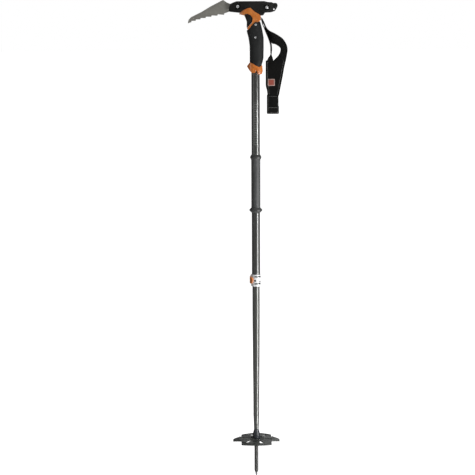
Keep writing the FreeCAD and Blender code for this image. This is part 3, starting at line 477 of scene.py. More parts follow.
def scale_marks(tree, place):
    """Plain printed bars down the near side of the tube, between two heights."""
    ring_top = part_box("upper_sleeve_ring")[1].z
    collar_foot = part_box("grip_collar")[0].z
    start = ring_top + 0.125 * (collar_foot - ring_top)
    stop = ring_top + 0.655 * (collar_foot - ring_top)
    axes = split_axes(tree, place)
    height, across = axes["Z"], axes["X"]
    pitch, bar_half, rail_inner, rail_outer = 0.005, 0.0030, 0.0036, 0.0044
    step = calculate(tree, "FRACT", calculate(tree, "DIVIDE", height, pitch))
    bars = calculate(tree, "LESS_THAN", step, 0.5)
    middle = calculate(tree, "MULTIPLY", bars, band(tree, across, -bar_half, bar_half))
    edges = calculate(tree, "GREATER_THAN", calculate(tree, "ABSOLUTE", across),
                      rail_inner)
    rails = calculate(tree, "MULTIPLY", edges, band(tree, across, -rail_outer, rail_outer))
    printed = calculate(tree, "ADD", middle, rails, clamp=True)
    front = calculate(tree, "LESS_THAN", axes["Y"], 0.0)
    inside = calculate(tree, "MULTIPLY", band(tree, height, start, stop), front)
    return calculate(tree, "MULTIPLY", printed, inside)


def make_woven_material(name, colour, light, yarn, depth, **constants):
    """Woven tape or cover cloth in two shades of its yarn."""
    material, tree, shader = new_material(name, **constants)
    weave = use_effect(tree, WEAVE, Yarn=yarn)
    grain_node = use_effect(tree, GRAIN, Scale=700.0)
    shaded = blend_colours(tree, weave.outputs["Shade"], colour, light)
    faded = blend_colours(tree, calculate(tree, "MULTIPLY", grain_node.outputs["Patches"], 0.35),
                          shaded, light)
    tree.links.new(faded, shader.inputs["Base Color"])
    tree.links.new(blend_values(tree, weave.outputs["Height"], 0.95, 0.72),
                   shader.inputs["Roughness"])
    bump(tree, shader, weave.outputs["Height"], 0.8, depth)
    return material


def make_patch_material():
    """A small woven patch: red-orange field inside a pale frame."""
    material, tree, shader = new_material("patch_cloth")
    weave = use_effect(tree, WEAVE, Yarn=0.55)
    axes = split_axes(tree, object_place(tree))
    low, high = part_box("strap_label")
    field_share = 0.74
    insides = []
    for axis in ("X", "Z"):
        centre = getattr((low + high) / 2, axis.lower())
        half = getattr((high - low) / 2, axis.lower())
        reach = calculate(tree, "ABSOLUTE", calculate(tree, "SUBTRACT", axes[axis], centre))
        insides.append(calculate(tree, "LESS_THAN", reach, half * field_share))
    field = calculate(tree, "MULTIPLY", insides[0], insides[1])
    red = blend_colours(tree, weave.outputs["Shade"], (0.28, 0.040, 0.022), (0.46, 0.12, 0.08))
    pale = blend_colours(tree, weave.outputs["Shade"], (0.36, 0.22, 0.19), (0.56, 0.42, 0.38))
    tree.links.new(blend_colours(tree, field, pale, red), shader.inputs["Base Color"])
    tree.links.new(blend_values(tree, weave.outputs["Height"], 0.9, 0.7),
                   shader.inputs["Roughness"])
    bump(tree, shader, weave.outputs["Height"], 0.7, 0.0003)
    return material


def make_orange_plastic():
    """Glossy moulded orange, paler in handled patches and worn scratches."""
    return grained_material("orange_plastic", (0.60, 0.165, 0.022), (0.72, 0.235, 0.045),
                            (0.90, 0.52, 0.26), (0.30, 0.42), 1100.0, 0.00003, 0.5,
                            Coat_Weight=0.6, Coat_Roughness=0.15, Subsurface_Weight=0.05,
                            Subsurface_Scale=0.002)


BLACK_PLASTIC = grained_material("head_plastic", (0.010, 0.010, 0.0095), (0.016, 0.016, 0.015),
                                 (0.06, 0.06, 0.058), (0.38, 0.52), 1400.0, 0.00006, 0.5,
                                 Specular_IOR_Level=0.28)
GRIP_RUBBER = grained_material("grip_rubber", (0.015, 0.016, 0.016), (0.024, 0.025, 0.025),
                               (0.05, 0.05, 0.05), (0.62, 0.78), 1700.0, 0.0002, 0.3,
                               Specular_IOR_Level=0.22)
SLEEVE_RUBBER = grained_material("sleeve_rubber", (0.055, 0.057, 0.058), (0.075, 0.077, 0.078),
                                 (0.12, 0.12, 0.12), (0.42, 0.55), 1500.0, 0.0001, 0.3,
                                 Specular_IOR_Level=0.35)
RING_PLASTIC = grained_material("ring_plastic", (0.040, 0.041, 0.041), (0.055, 0.056, 0.056),
                                (0.12, 0.12, 0.12), (0.36, 0.48), 1300.0, 0.00006, 0.4)
PLUG_PLASTIC = grained_material("plug_plastic", (0.03, 0.03, 0.032), (0.045, 0.045, 0.047),
                                (0.10, 0.10, 0.10), (0.45, 0.6), 1200.0, 0.00008, 0.3)
FERRULE_PLASTIC = grained_material("ferrule_plastic", (0.045, 0.045, 0.043),
                                   (0.07, 0.07, 0.067), (0.2, 0.2, 0.19), (0.3, 0.42), 1200.0,
                                   0.00006, 0.8)
HUB_PLASTIC = grained_material("hub_plastic", (0.018, 0.021, 0.025), (0.03, 0.034, 0.04),
                               (0.12, 0.13, 0.14), (0.3, 0.42), 1200.0, 0.00006, 0.7)
BASKET_PLASTIC = grained_material("basket_plastic", (0.024, 0.027, 0.025),
                                  (0.042, 0.045, 0.042), (0.22, 0.23, 0.2), (0.4, 0.55), 900.0,
                                  0.00012, 0.9)
CLAMP_ALLOY = grained_material("clamp_alloy", (0.82, 0.83, 0.84), (0.90, 0.905, 0.91),
                               (0.52, 0.52, 0.53), (0.24, 0.36), 1500.0, 0.00003, 0.4,
                               Metallic=0.25)
FASTENER_STEEL = grained_material("fastener_steel", (0.78, 0.79, 0.80), (0.88, 0.885, 0.89),
                                  (0.44, 0.44, 0.45), (0.2, 0.32), 1500.0, 0.00002, 0.4,
                                  Metallic=0.3)
TIP_CARBIDE = grained_material("tip_carbide", (0.20, 0.20, 0.21), (0.28, 0.28, 0.29),
                               (0.45, 0.45, 0.46), (0.3, 0.45), 1600.0, 0.00004, 0.8,
                               Metallic=0.8)
ORANGE_PLASTIC = make_orange_plastic()
PICK_STEEL = make_pick_steel()
UPPER_TUBE = make_tube_finish("upper_tube", (0.075, 0.076, 0.074), True)
LOWER_TUBE = make_tube_finish("lower_tube", (0.095, 0.097, 0.092), False)
WEBBING = make_woven_material("webbing", (0.005, 0.005, 0.005), (0.017, 0.017, 0.0165), 1.3,
                              0.00022, Specular_IOR_Level=0.03)
STRAP_CLOTH = make_woven_material("strap_fabric", (0.006, 0.0058, 0.0055),
                                  (0.014, 0.0137, 0.0133), 0.8, 0.00016,
                                  Specular_IOR_Level=0.03)
STITCH_THREAD = make_woven_material("stitch_thread", (0.16, 0.16, 0.155), (0.40, 0.40, 0.39),
                                    0.4, 0.0001)
PATCH_CLOTH = make_patch_material()


# ---------------------------------------------------------------- parts kept from the CAD

def finish_cad_nodes():
    """Give each CAD node that stays in view its finish."""
    finishes = {
        "upper_shaft": UPPER_TUBE, "lower_shaft": LOWER_TUBE, "shaft_plug": PLUG_PLASTIC,
        "guide_plug": PLUG_PLASTIC, "ferrule": FERRULE_PLASTIC, "basket_hub": HUB_PLASTIC,
        "basket": BASKET_PLASTIC, "choke_sleeve": SLEEVE_RUBBER,
        "lower_sleeve_ring": RING_PLASTIC, "upper_sleeve_ring": RING_PLASTIC,
        "clamp_screw": FASTENER_STEEL, "lever_pin": FASTENER_STEEL, "strap_pin": FASTENER_STEEL,
    }
    for name, material in finishes.items():
        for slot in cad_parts[name].material_slots:
            slot.material = material


# ---------------------------------------------------------------- pick

# The blade's long upper edge from its point to the head, in (x, z).
SPINE = [(-141.4, 1005.2), (-136.1, 1010.9), (-114.8, 1021.1), (-93.6, 1033.6), (-68.2, 1046.5)]


def spine_distance(x, z):
    """How far a point of the blade lies from its long upper edge."""
    spine = [Vector(point) for point in SPINE]
    point = Vector((x, z))
    best = math.inf
    for start, stop in zip(spine, spine[1:]):
        along = stop - start
        share = min(max((point - start).dot(along) / along.length_squared, 0.0), 1.0)
        best = min(best, (start + along * share - point).length)
    return best


def pick_tooth_corners():
    """Underside of the blade: hooked teeth whose pitch grows towards the head."""
    corners = []
    first_x, x = -135.8, -135.8
    for index in range(7):
        run = x - first_x
        foot = 1000.2 + 0.33 * run - 0.0016 * run * run
        corners += [(x, foot, 0.0), (x + 0.6, foot + 2.8, 0.0)]
        x += 9.2 + 0.95 * index
    return corners[::-1]


def make_pick():
    low, high = node_box("pick")
    half = (high.y - low.y) / 2
    spine = [(*point, radius) for point, radius in zip(SPINE, (3.0, 6.0, 20.0, 30.0, 0.8))]
    blade = [(-143.1, 997.9, 0.3), *spine, (-60.4, 1041.0, 1.5)]
    tang = [(-54.0, 1038.5, 2.0), (33.0, 1038.5, 4.0), (33.0, 1025.0, 4.0), (3.5, 1024.0, 2.0),
            (3.5, low.z, 2.0), (-7.5, low.z, 2.0), (-7.5, 1026.8, 2.0), (-14.0, 1031.8, 2.0),
            (-30.0, 1026.0, 2.0), (-56.0, 1021.6, 2.0)]
    bm = plate_shape(blade + tang + pick_tooth_corners(), -half, half)
    ground = 4.2
    for start, stop in zip(SPINE[1:], SPINE[2:]):
        along = (Vector(stop) - Vector(start)).normalized()
        inward = Vector((along.y, 0.0, -along.x))
        place = Vector((start[0], 0.0, start[1])) + inward * ground
        bmesh.ops.bisect_plane(bm, geom=bm.verts[:] + bm.edges[:] + bm.faces[:], dist=0.0001,
                               plane_co=place, plane_no=inward)
    slice_across(bm, [-139.0, -132.0, -124.0, -60.0], 0)
    for vert in bm.verts:
        if vert.co.x < -60.5:
            thin = 0.5 + 0.5 * min(spine_distance(vert.co.x, vert.co.z) / ground, 1.0)
            point = 0.35 + 0.65 * min((vert.co.x - low.x) / 22.0, 1.0)
            vert.co.y *= min(thin, point)
    make_piece(bm, "pick_blade", "upper_pole", PICK_STEEL, ["pick"])


# ---------------------------------------------------------------- head

HEAD_HALF_DEPTH = 12.5
# The heads of the bolts and of the grip screws, in millimetres: how far out from the middle
# plane they sit, their radius and the height of their dome.
BOLT = {"reach": 7.5, "radius": 3.4, "crown": 2.3}
GRIP_SCREW = {"reach": 13.0, "radius": 2.3, "crown": 1.6}


def head_corners():
    """Side view of the head, whose underside lies along the hook's upper edge."""
    return [
        (-55.8, 1021.8, 2.6), (-55.8, 1031.3, 6.0), (-50.9, 1039.3, 5.0), (-40.3, 1043.3, 10.0),
        (18.6, 1043.3, 10.0), (26.0, 1041.3, 10.0), (34.5, 1041.1, 2.4), (36.8, 1039.5, 2.0),
        (44.6, 1039.4, 2.4), (47.0, 1035.2, 2.2), (46.0, 1030.6, 4.0), (41.2, 1022.8, 3.0),
        (32.6, 1020.1, 5.0), (20.1, 1019.7, 3.0), (16.4, 1013.8, 2.2), (11.3, 1013.6, 1.2),
        (4.95, 1017.7, 6.0), (-2.45, 1021.9, 8.0), (-10.6, 1029.75, 1.4), (-17.9, 1028.3, 8.0),
        (-25.3, 1025.1, 8.0), (-33.0, 1019.4, 2.0), (-40.4, 1020.2, 4.0),
    ]


def head_thickness(x):
    """Half width of the head along its length: full in the middle, slim at both ends."""
    if x < -28.0:
        return 8.5 + 4.0 * (x + 56.0) / 28.0
    if x > 22.0:
        return HEAD_HALF_DEPTH - 5.1 * (x - 22.0) / 26.0
    return HEAD_HALF_DEPTH


def bolt_places():
    """Centre of each head bolt, from the two solids of the CAD node."""
    low, high = node_box("head_bolts")
    radius = BOLT["radius"]
    return [Vector((low.x + radius, 0.0, high.z - radius)),
            Vector((high.x - radius, 0.0, low.z + radius))]


def make_head_shell(name, node, side):
    """Half of the head: a tapered cheek with round edges, sunk bolt seats and a lower lip."""
    bm = plate_shape(head_corners(), 0.0, HEAD_HALF_DEPTH * side)
    slice_across(bm, [-48.0, -42.0, -35.0, -28.0, 0.0, 22.0, 30.0, 38.0], 0)
    for vert in bm.verts:
        if abs(vert.co.y) > 1.0:
            vert.co.y = side * head_thickness(vert.co.x)
    bm.normal_update()
    soften(bm, side_rim(bm, 2.0), 1.9, 4)
    for place in bolt_places():
        seat = barrel_shape(place + Vector((0, side * 17.5, 0)), (0, 1, 0), 6.0, 20.0, 48)
        bm = combine(bm, seat)
    hole = barrel_shape((39.1, side * 8.0, 1026.5), (0, 1, 0), 1.75, 20.0, 32)
    bm = combine(bm, hole)
    for start, stop, width in (((-7.4, 1033.2), (17.2, 1018.0), 0.9),
                               ((42.2, 1036.6), (38.0, 1031.2), 0.8),
                               ((-48.6, 1024.0), (-20.5, 1029.9), 0.6)):
        bm = combine(bm, groove_shape(start, stop, width, side, head_thickness(start[0])))
    make_piece(bm, name, "upper_pole", BLACK_PLASTIC, [node])


def groove_shape(start, stop, width, side, surface):
    """A long narrow cutter that lies along a line on one cheek."""
    start, stop = Vector((start[0], 0.0, start[1])), Vector((stop[0], 0.0, stop[1]))
    along = stop - start
    depth = 0.8
    bm = block_shape((-along.length / 2, -3.0, -width / 2), (along.length / 2, 3.0, width / 2),
                     0.25)
    turn = Matrix.Rotation(-math.atan2(along.z, along.x), 4, "Y")
    middle = (start + stop) / 2 + Vector((0.0, side * (surface - depth + 3.0), 0.0))
    bmesh.ops.transform(bm, matrix=Matrix.Translation(middle) @ turn, verts=bm.verts[:])
    return bm


def make_fastener_heads(name, node, places, reach, radius, crown, side):
    """Domed screw heads with a hexagon socket, at the same places on one side."""
    bm = bmesh.new()
    for place in places:
        head = turned_shape([(0.0, 0.0), (radius, 0.0), (radius, crown * 0.55),
                             (radius * 0.93, crown * 0.8), (radius * 0.75, crown * 0.95),
                             (radius * 0.5, crown), (0.0, crown)], 40)
        socket = barrel_shape((0, 0, crown), (0, 0, 1), radius * 0.46, crown, 6)
        head = combine(head, socket)
        shank = barrel_shape((0, 0, -reach / 2 + 0.2), (0, 0, 1), radius * 0.62, reach, 32)
        add_shape(head, shank)
        turn = Matrix.Rotation(math.radians(90 * -side), 4, "X")
        spot = Vector((place[0], side * reach, place[2]))
        bmesh.ops.transform(head, matrix=Matrix.Translation(spot) @ turn, verts=head.verts[:])
        add_shape(bm, head)
    make_piece(bm, name, "upper_pole", FASTENER_STEEL, [node])


def grip_screw_places():
    """Centre of each grip screw, from the two solids of the CAD node."""
    low, high = node_box("grip_screws")
    radius = GRIP_SCREW["radius"]
    return [Vector((high.x - radius, 0.0, high.z - radius)),
            Vector((low.x + radius, 0.0, low.z + radius))]


# ---------------------------------------------------------------- grip

def oval_half_width(x, centre, half_x, half_y):
    share = min(abs(x - centre) / half_x, 0.999)
    return half_y * math.sqrt(1.0 - share * share)


def swell(bm, centre, half_x, half_y):
    """Give a plate an oval plan, narrowing towards both ends."""
    for vert in bm.verts:
        side = 1.0 if vert.co.y > 0 else -1.0
        vert.co.y = side * min(abs(vert.co.y), oval_half_width(vert.co.x, centre, half_x, half_y))
    bm.normal_update()


def make_hook():
    """The orange hook under the head, with the stem that the grip slides over."""
    corners = [
        (-34.9, 1016.4, 1.2), (-32.8, 1019.4, 2.0), (-25.2, 1025.0, 8.0), (-17.8, 1028.2, 8.0),
        (-10.6, 1029.6, 1.6), (-2.5, 1021.8, 8.0), (4.9, 1017.6, 6.0), (11.2, 1013.4, 1.5),
        (10.6, 1003.6, 1.6), (8.2, 1001.0, 1.4), (-0.4, 1000.2, 2.0), (-16.3, 984.4, 0.9),
        (-18.2, 987.0, 0.9), (-7.8, 998.4, 6.0), (-5.4, 1007.2, 6.0), (-10.2, 1014.4, 5.0),
        (-17.0, 1017.4, 5.0), (-23.1, 1016.3, 1.5), (-23.4, 1013.8, 0.5),
    ]
    low, high = node_box("grip_core")
    bm = plate_shape(corners, low.y, high.y)
    slice_across(bm, [-32, -29, -26, -22, -18, -14, -10, -6, -2, 2, 6, 9], 0)
    swell(bm, -6.0, 34.0, 14.4)
    soften(bm, side_rim(bm), 1.1, 4)
    stem = turned_shape([(9.1, low.z), (10.5, low.z), (10.5, 992.0), (9.1, 992.0)])
    add_shape(bm, stem)
    make_piece(bm, "grip_hook", "upper_pole", ORANGE_PLASTIC, ["grip_core"])


def make_hook_rim():
    """A raised band along the hook's lower edge, where it meets the grip."""
    corners = [(-17.4, 985.2, 0.5), (-16.0, 984.2, 0.5), (-0.3, 999.9, 1.5), (7.6, 1000.6, 0.8),
               (8.0, 1002.6, 0.8), (-1.4, 1002.2, 1.5)]
    bm = plate_shape(corners, -14.2, 14.2)
    slice_across(bm, [-14, -11, -8, -5, -2, 1, 4], 0)
    swell(bm, -6.0, 34.0, 14.9)
    soften(bm, side_rim(bm), 0.35, 2)
    make_piece(bm, "grip_hook_rim", "upper_pole", ORANGE_PLASTIC)


def make_finger_pad():
    """The rubber pad behind the hook, under the first finger."""
    corners = [
        (-23.4, 1013.6, 1.0), (-23.2, 1016.1, 1.4), (-17.0, 1017.2, 4.9), (-10.3, 1014.2, 4.9),
        (-5.6, 1007.2, 5.9), (-8.0, 998.6, 5.9), (-17.9, 987.6, 0.9), (-18.6, 990.0, 1.0),
        (-18.2, 1000.2, 8.0), (-20.1, 1006.2, 6.0),
    ]
    low, high = node_box("finger_pad")
    bm = plate_shape(corners, low.y, high.y)
    slice_across(bm, [-21, -18, -15, -12, -9], 0)
    swell(bm, 0.0, 24.5, 14.0)
    soften(bm, side_rim(bm), 1.0, 4)
    make_piece(bm, "finger_rest", "upper_pole", GRIP_RUBBER, ["finger_pad"])


def grip_reach(height):
    """Front and back of the grip at one height, from its few widths along the hand."""
    stations = [(890.0, -12.0, 6.0), (898.0, -12.2, 9.5), (908.0, -12.3, 12.4),
                (916.0, -12.4, 15.2), (925.0, -12.4, 17.2), (950.0, -12.4, 17.4),
                (960.0, -13.7, 17.4), (967.5, -14.9, 17.3), (980.0, -18.2, 15.2),
                (990.0, -19.4, 13.0), (1004.0, -20.0, 9.2), (1012.0, -20.0, 8.0)]
    for (low, left_low, right_low), (high, left_high, right_high) in zip(stations, stations[1:]):
        if low <= height <= high:
            share = (height - low) / (high - low)
            return (left_low + (left_high - left_low) * share,
                    right_low + (right_high - right_low) * share)
    return stations[-1][1:]


def grip_ring(bm, height, half_y):
    """One slightly squared oval of the grip."""
    made = bmesh.ops.create_circle(bm, cap_ends=False, radius=1.0, segments=72)
    left, right = grip_reach(height)
    centre, half_x = (left + right) / 2, (right - left) / 2
    squareness = 2.0 / 2.3
    for vert in made["verts"]:
        x = centre + half_x * math.copysign(abs(vert.co.x) ** squareness, vert.co.x)
        y = half_y * math.copysign(abs(vert.co.y) ** squareness, vert.co.y)
        vert.co = (x, y, height)
    return made["verts"]


def cut_below(bm, place, normal):
    """Keep what lies against the normal, and close the cut."""
    everything = bm.verts[:] + bm.edges[:] + bm.faces[:]
    bmesh.ops.bisect_plane(bm, geom=everything, dist=0.0001, plane_co=place, plane_no=normal,
                           clear_outer=True)
    open_edges = [edge for edge in bm.edges if len(edge.link_faces) == 1]
    bmesh.ops.holes_fill(bm, edges=open_edges, sides=0)


def make_grip():
    """The rubber grip: ovals joined up the hand, cut to the hook above and the collar below."""
    _, high = node_box("grip_cover")
    bm = bmesh.new()
    foot, spacing, count = 892.0, 4.0, 29
    heights = [foot + spacing * step for step in range(count)]
    for height in heights:
        grip_ring(bm, height, high.y)
    bmesh.ops.bridge_loops(bm, edges=bm.edges[:])
    for level in (heights[0], heights[-1]):
        ends = [edge for edge in bm.edges if len(edge.link_faces) == 1
                and abs(edge.verts[0].co.z - level) < 0.01]
        bmesh.ops.holes_fill(bm, edges=ends, sides=0)
    cut_below(bm, (-0.4, 0.0, 1000.0), Vector((-39.1, 0.0, 39.6)).normalized())
    cut_below(bm, (-0.4, 0.0, 1000.1), Vector((-0.1, 0.0, 1.0)).normalized())
    cut_below(bm, (7.6, 0.0, 905.4), Vector((-26.1, 0.0, -47.6)).normalized())
    cut_below(bm, (7.6, 0.0, 905.4), Vector((22.6, 0.0, -32.4)).normalized())
    bmesh.ops.recalc_face_normals(bm, faces=bm.faces[:])
    bm.normal_update()
    rims = [edge for edge in bm.edges if len(edge.link_faces) == 2
            and edge.calc_face_angle(0.0) > math.radians(40)
            and max(len(face.verts) for face in edge.link_faces) > 12]
    soften(bm, rims, 0.8, 3)
    for place in grip_screw_places():
        for side in (-1, 1):
            seat = barrel_shape(place + Vector((0, side * (high.y + 3.0), 0)), (0, 1, 0), 2.6,
                                10.0, 32)
            bm = combine(bm, seat)
    make_piece(bm, "grip_sleeve", "upper_pole", GRIP_RUBBER, ["grip_cover"])


def make_collar():
    """The orange guard under the grip, with a groove along its upper bevel."""
    corners = [
        (-11.9, 915.9, 1.2), (-18.6, 907.2, 1.6), (-12.8, 898.0, 2.0), (-7.8, 893.2, 1.5),
        (-3.2, 894.2, 1.0), (-0.8, 893.6, 0.4), (0.6, 899.0, 0.6), (3.0, 899.4, 0.6),
        (4.4, 892.2, 0.8), (8.2, 889.8, 1.5), (13.2, 891.0, 2.0), (15.4, 896.8, 2.0),
        (14.7, 904.7, 2.0), (14.4, 909.9, 1.0), (7.6, 905.3, 0.6),
    ]
    low, high = node_box("grip_collar")
    bm = plate_shape(corners, low.y, high.y)
    slice_across(bm, [-16, -13, -10, -7, -4, 5, 8, 11, 13], 0)
    swell(bm, -1.6, 18.2, high.y)
    soften(bm, side_rim(bm), 1.6, 4)
    for side in (-1, 1):
        groove = groove_shape((-11.4, 909.0), (7.6, 898.9), 1.5, side, high.y - 0.9)
        bm = combine(bm, groove)
    make_piece(bm, "grip_guard", "upper_pole", ORANGE_PLASTIC,
               ["grip_collar"])


# ---------------------------------------------------------------- lever clamp

def make_clamp_band():
    """The split alloy band: two slots open to the right, lugs and screw at the back; a black
    sleeve inside it is painted shade in the slots.
    """
    low, high = node_box("clamp_band")
    foot, top, radius = low.z, high.z, -low.y
    bore, chamfer, split_half, lug_outer = 9.05, 0.7, 1.2, 4.2
    bm = turned_shape([(bore, foot), (radius - chamfer, foot), (radius, foot + chamfer),
                       (radius, top - chamfer), (radius - chamfer, top), (bore, top)], 96)
    for side in (-1, 1):
        left, right = sorted((split_half * side, lug_outer * side))
        lug = block_shape((left, 9.7, foot + 1.0), (right, high.y, top - 1.0), 0.7)
        bm = combine(bm, lug, "UNION")
    gap_low = (-split_half, 5.0, foot - 2.0)
    bm = combine(bm, block_shape(gap_low, (split_half, high.y + 2.0, top + 2.0)))
    middle = (foot + top) / 2
    slot_half = 1.6
    for rise in (-6.8, 8.6):
        slot = block_shape((-3.2, -radius - 2.0, middle + rise - slot_half),
                           (radius + 2.0, 0.0, middle + rise + slot_half), 0.3)
        bm = combine(bm, slot)
    notch = block_shape((7.2, -radius - 2.0, middle - 3.0), (radius + 2.0, 0.0, middle - 0.8),
                        0.3)
    bm = combine(bm, notch)
    bm = combine(bm, barrel_shape((-2.2, -radius, middle), (0, 1, 0), 2.2, 6.0, 32))
    make_piece(bm, "clamp_band_cast", "upper_pole", CLAMP_ALLOY, ["clamp_band"])
    # A black sleeve inside the bore, so that the slots show dark: painted shade in the slots.
    shade_sleeve = turned_shape([(9.06, foot + 1.0), (9.5, foot + 1.0), (9.5, top - 1.0),
                          (9.06, top - 1.0)], 72)
    shade_sleeve = combine(shade_sleeve, block_shape(gap_low, (split_half, 12.0, top + 2.0)))
    make_piece(shade_sleeve, "clamp_shade_sleeve", "upper_pole", BLACK_PLASTIC)


def make_lever():
    """The orange lever, wrapped round the band from its cam at the back to its thumb end."""
    low, high = node_box("lock_lever")
    inside, outside = 11.2, 13.9
    middle = (low.z + high.z) / 2
    # Degrees round the pole, with how far the foot rises and the top drops there.
    outline = [(119, 0.0, 0.0), (150, 0.2, 0.6), (180, 1.0, 1.7), (205, 1.1, 2.0),
               (221, 1.8, 2.6), (231, 3.6, 4.2), (238, 6.2, 6.4)]
    start, stop = math.radians(outline[0][0]), math.radians(outline[-1][0])
    half = (high.z - low.z) / 2
    bm = bmesh.new()
    spots = ((inside, -half), (outside, -half), (outside, half), (inside, half))
    corners = [bm.verts.new((radius * math.cos(start), radius * math.sin(start), middle + rise))
               for radius, rise in spots]
    face = bm.faces.new(corners)
    bmesh.ops.spin(bm, geom=[face], cent=(0, 0, 0), axis=(0, 0, 1), dvec=(0, 0, 0),
                   angle=stop - start, steps=40, use_merge=False, use_duplicate=False)
    for vert in bm.verts:
        turn = math.degrees(math.atan2(vert.co.y, vert.co.x) % math.tau)
        for (before, rise, drop), (after, next_rise, next_drop) in zip(outline, outline[1:]):
            if before - 0.01 <= turn <= after + 0.01:
                share = (turn - before) / (after - before)
                foot = low.z + rise + (next_rise - rise) * share
                top = high.z - drop - (next_drop - drop) * share
        vert.co.z = foot if vert.co.z < middle else top
    bmesh.ops.recalc_face_normals(bm, faces=bm.faces[:])
    bm.normal_update()
    edges = [edge for edge in bm.edges if edge.calc_face_angle(0.0) > math.radians(50)]
    soften(bm, edges, 0.75, 3)
    cam = barrel_shape((-7.95, 14.0, middle), (0, 0, 1), 3.6, half * 2, 40, 0.5)
    bm = combine(bm, cam, "UNION")
    screw_height = sum(corner.z for corner in node_box("clamp_screw")) / 2
    slot = block_shape((-14.0, 11.6, screw_height - 2.2), (0.0, 20.0, screw_height + 2.2), 0.3)
    bm = combine(bm, slot)
    make_piece(bm, "clamp_lever", "lock_lever", ORANGE_PLASTIC, ["lock_lever"])


# ---------------------------------------------------------------- basket and tip

def make_basket_ribs():
    """Raised ribs on the basket's deck, one between each pair of slots, long and short in turn.
    """
    _, high = node_box("basket")
    deck = high.z - 1.0
    bm = bmesh.new()
    for index in range(12):
        turn = Matrix.Rotation(math.radians(20 + 30 * index), 4, "Z")
        long_rib = index % 2 == 0
        reach = 33.5 if long_rib else 17.5
        width = 2.0 if long_rib else 1.2
        slope = math.radians(2.6 if long_rib else 0.0)
        rib = block_shape((9.5, -width / 2, -1.2), (reach, width / 2, 0.9), 0.35)
        tilt = Matrix.Rotation(slope, 4, "Y")
        bmesh.ops.transform(rib, matrix=Matrix.Translation((0, 0, deck + 0.2)) @ turn @ tilt,
                            verts=rib.verts[:])
        add_shape(bm, rib)
    make_piece(bm, "basket_ribs", "lower_pole", BASKET_PLASTIC)


def make_tip():
    """The hard tip: a short fluted point on a round shank."""
    low, high = node_box("carbide_tip")
    bm = turned_shape([(0.0, 0.9), (0.7, 0.35), (1.1, 0.0), (1.3, 0.4), (1.6, 1.6), (2.0, 3.4),
                       (2.4, 5.4), (2.4, 9.3), (2.0, 9.3), (2.0, high.z), (0.0, high.z)], 48)
    for vert in bm.verts:
        if low.z - 1.0 < vert.co.z < 5.0:
            turn = math.atan2(vert.co.y, vert.co.x)
            flute = 1.0 - 0.16 * (0.5 + 0.5 * math.cos(4 * turn)) * (1.0 - vert.co.z / 5.0)
            vert.co.x *= flute
            vert.co.y *= flute
    make_piece(bm, "hard_tip", "lower_pole", TIP_CARBIDE, ["carbide_tip"])


# ---------------------------------------------------------------- wrist strap

def cloth_ribbon(near_edge, far_edge, thickness, steps=6, columns=8, crown=0.0):
    """A closed strip of cloth between two edges given by a few points, with a UV map in mm."""
    near, far = smooth_path(near_edge, steps), smooth_path(far_edge, steps)
    rows = len(near) - 1
    bm = bmesh.new()
    uv_layer = bm.loops.layers.uv.new("UVMap")
    bmesh.ops.create_grid(bm, x_segments=columns, y_segments=rows, size=0.5, calc_uvs=True)
    widest = max((a - b).length for a, b in zip(near, far))
    length = sum((a - b).length for a, b in zip(near, near[1:]))
    for face in bm.faces:
        for loop in face.loops:
            uv = loop[uv_layer].uv
            loop[uv_layer].uv = (uv.x * widest, uv.y * length)
    low = min(vert.co.x for vert in bm.verts)
    span = max(vert.co.x for vert in bm.verts) - low
    shares = {vert: ((vert.co.x - low) / span, round((vert.co.y - low) / span * rows))
              for vert in bm.verts}
    for vert, (across, row) in shares.items():
        vert.co = near[row].lerp(far[row], across)
    bm.normal_update()
    for vert, (across, row) in shares.items():
        bulge = crown * (1.0 - (2.0 * across - 1.0) ** 2)
        vert.co += vert.normal * (thickness / 2 + bulge)
    bmesh.ops.solidify(bm, geom=bm.faces[:], thickness=thickness)
    return bm


def loop_round_pin():
    """The webbing's way over and round the strap pin, seen from the side, in (x, z)."""
    low, high = node_box("strap_pin")
    pin_x, pin_z = (low.x + high.x) / 2, (low.z + high.z) / 2
    radius = (high.x - low.x) / 2 + 0.9
    turns = [math.radians(45 + 45 * step) for step in range(6)]
    return [(pin_x + radius * math.cos(turn), pin_z + radius * math.sin(turn)) for turn in turns]


def make_inner_leg():
    """The leg nearest the grip: edge-on down to the pad, where it turns flat."""
    upper = [(21.2, 988.4), (18.8, 994.4), (16.8, 1001.2), (14.0, 1006.6)] + loop_round_pin()
    lower = [(11.4, 1005.7), (13.4, 1003.2), (14.3, 999.4), (16.0, 993.2), (19.5, 986.2),
             (23.2, 978.6), (28.2, 966.8), (32.2, 955.0), (33.3, 947.0), (33.3, 938.0)]
    way = upper + lower
    half, full_lean, lean_top, lean_run = 11.0, 1.4, 995.0, 15.0
    # Below the head the leg turns a little, so that some of its width shows.
    leans = [0.0] * len(upper)
    leans += [full_lean * min(max((lean_top - z) / lean_run, 0.0), 1.0) for _, z in lower]
    near = [(x - lean, -half, z) for (x, z), lean in zip(way, leans)]
    near += [(31.8, -9.0, 931.0), (27.0, -4.6, 924.0), (23.2, -1.6, 916.0)]
    far = [(x + lean, half, z) for (x, z), lean in zip(way, leans)]
    far += [(33.9, 8.2, 931.0), (36.2, 3.8, 925.0), (38.4, -0.2, 917.0)]
    bm = cloth_ribbon(near, far, 1.5)
    piece = make_piece(bm, "strap_leg_inner", "wrist_strap", WEBBING,
                       ["strap_inner_leg"])


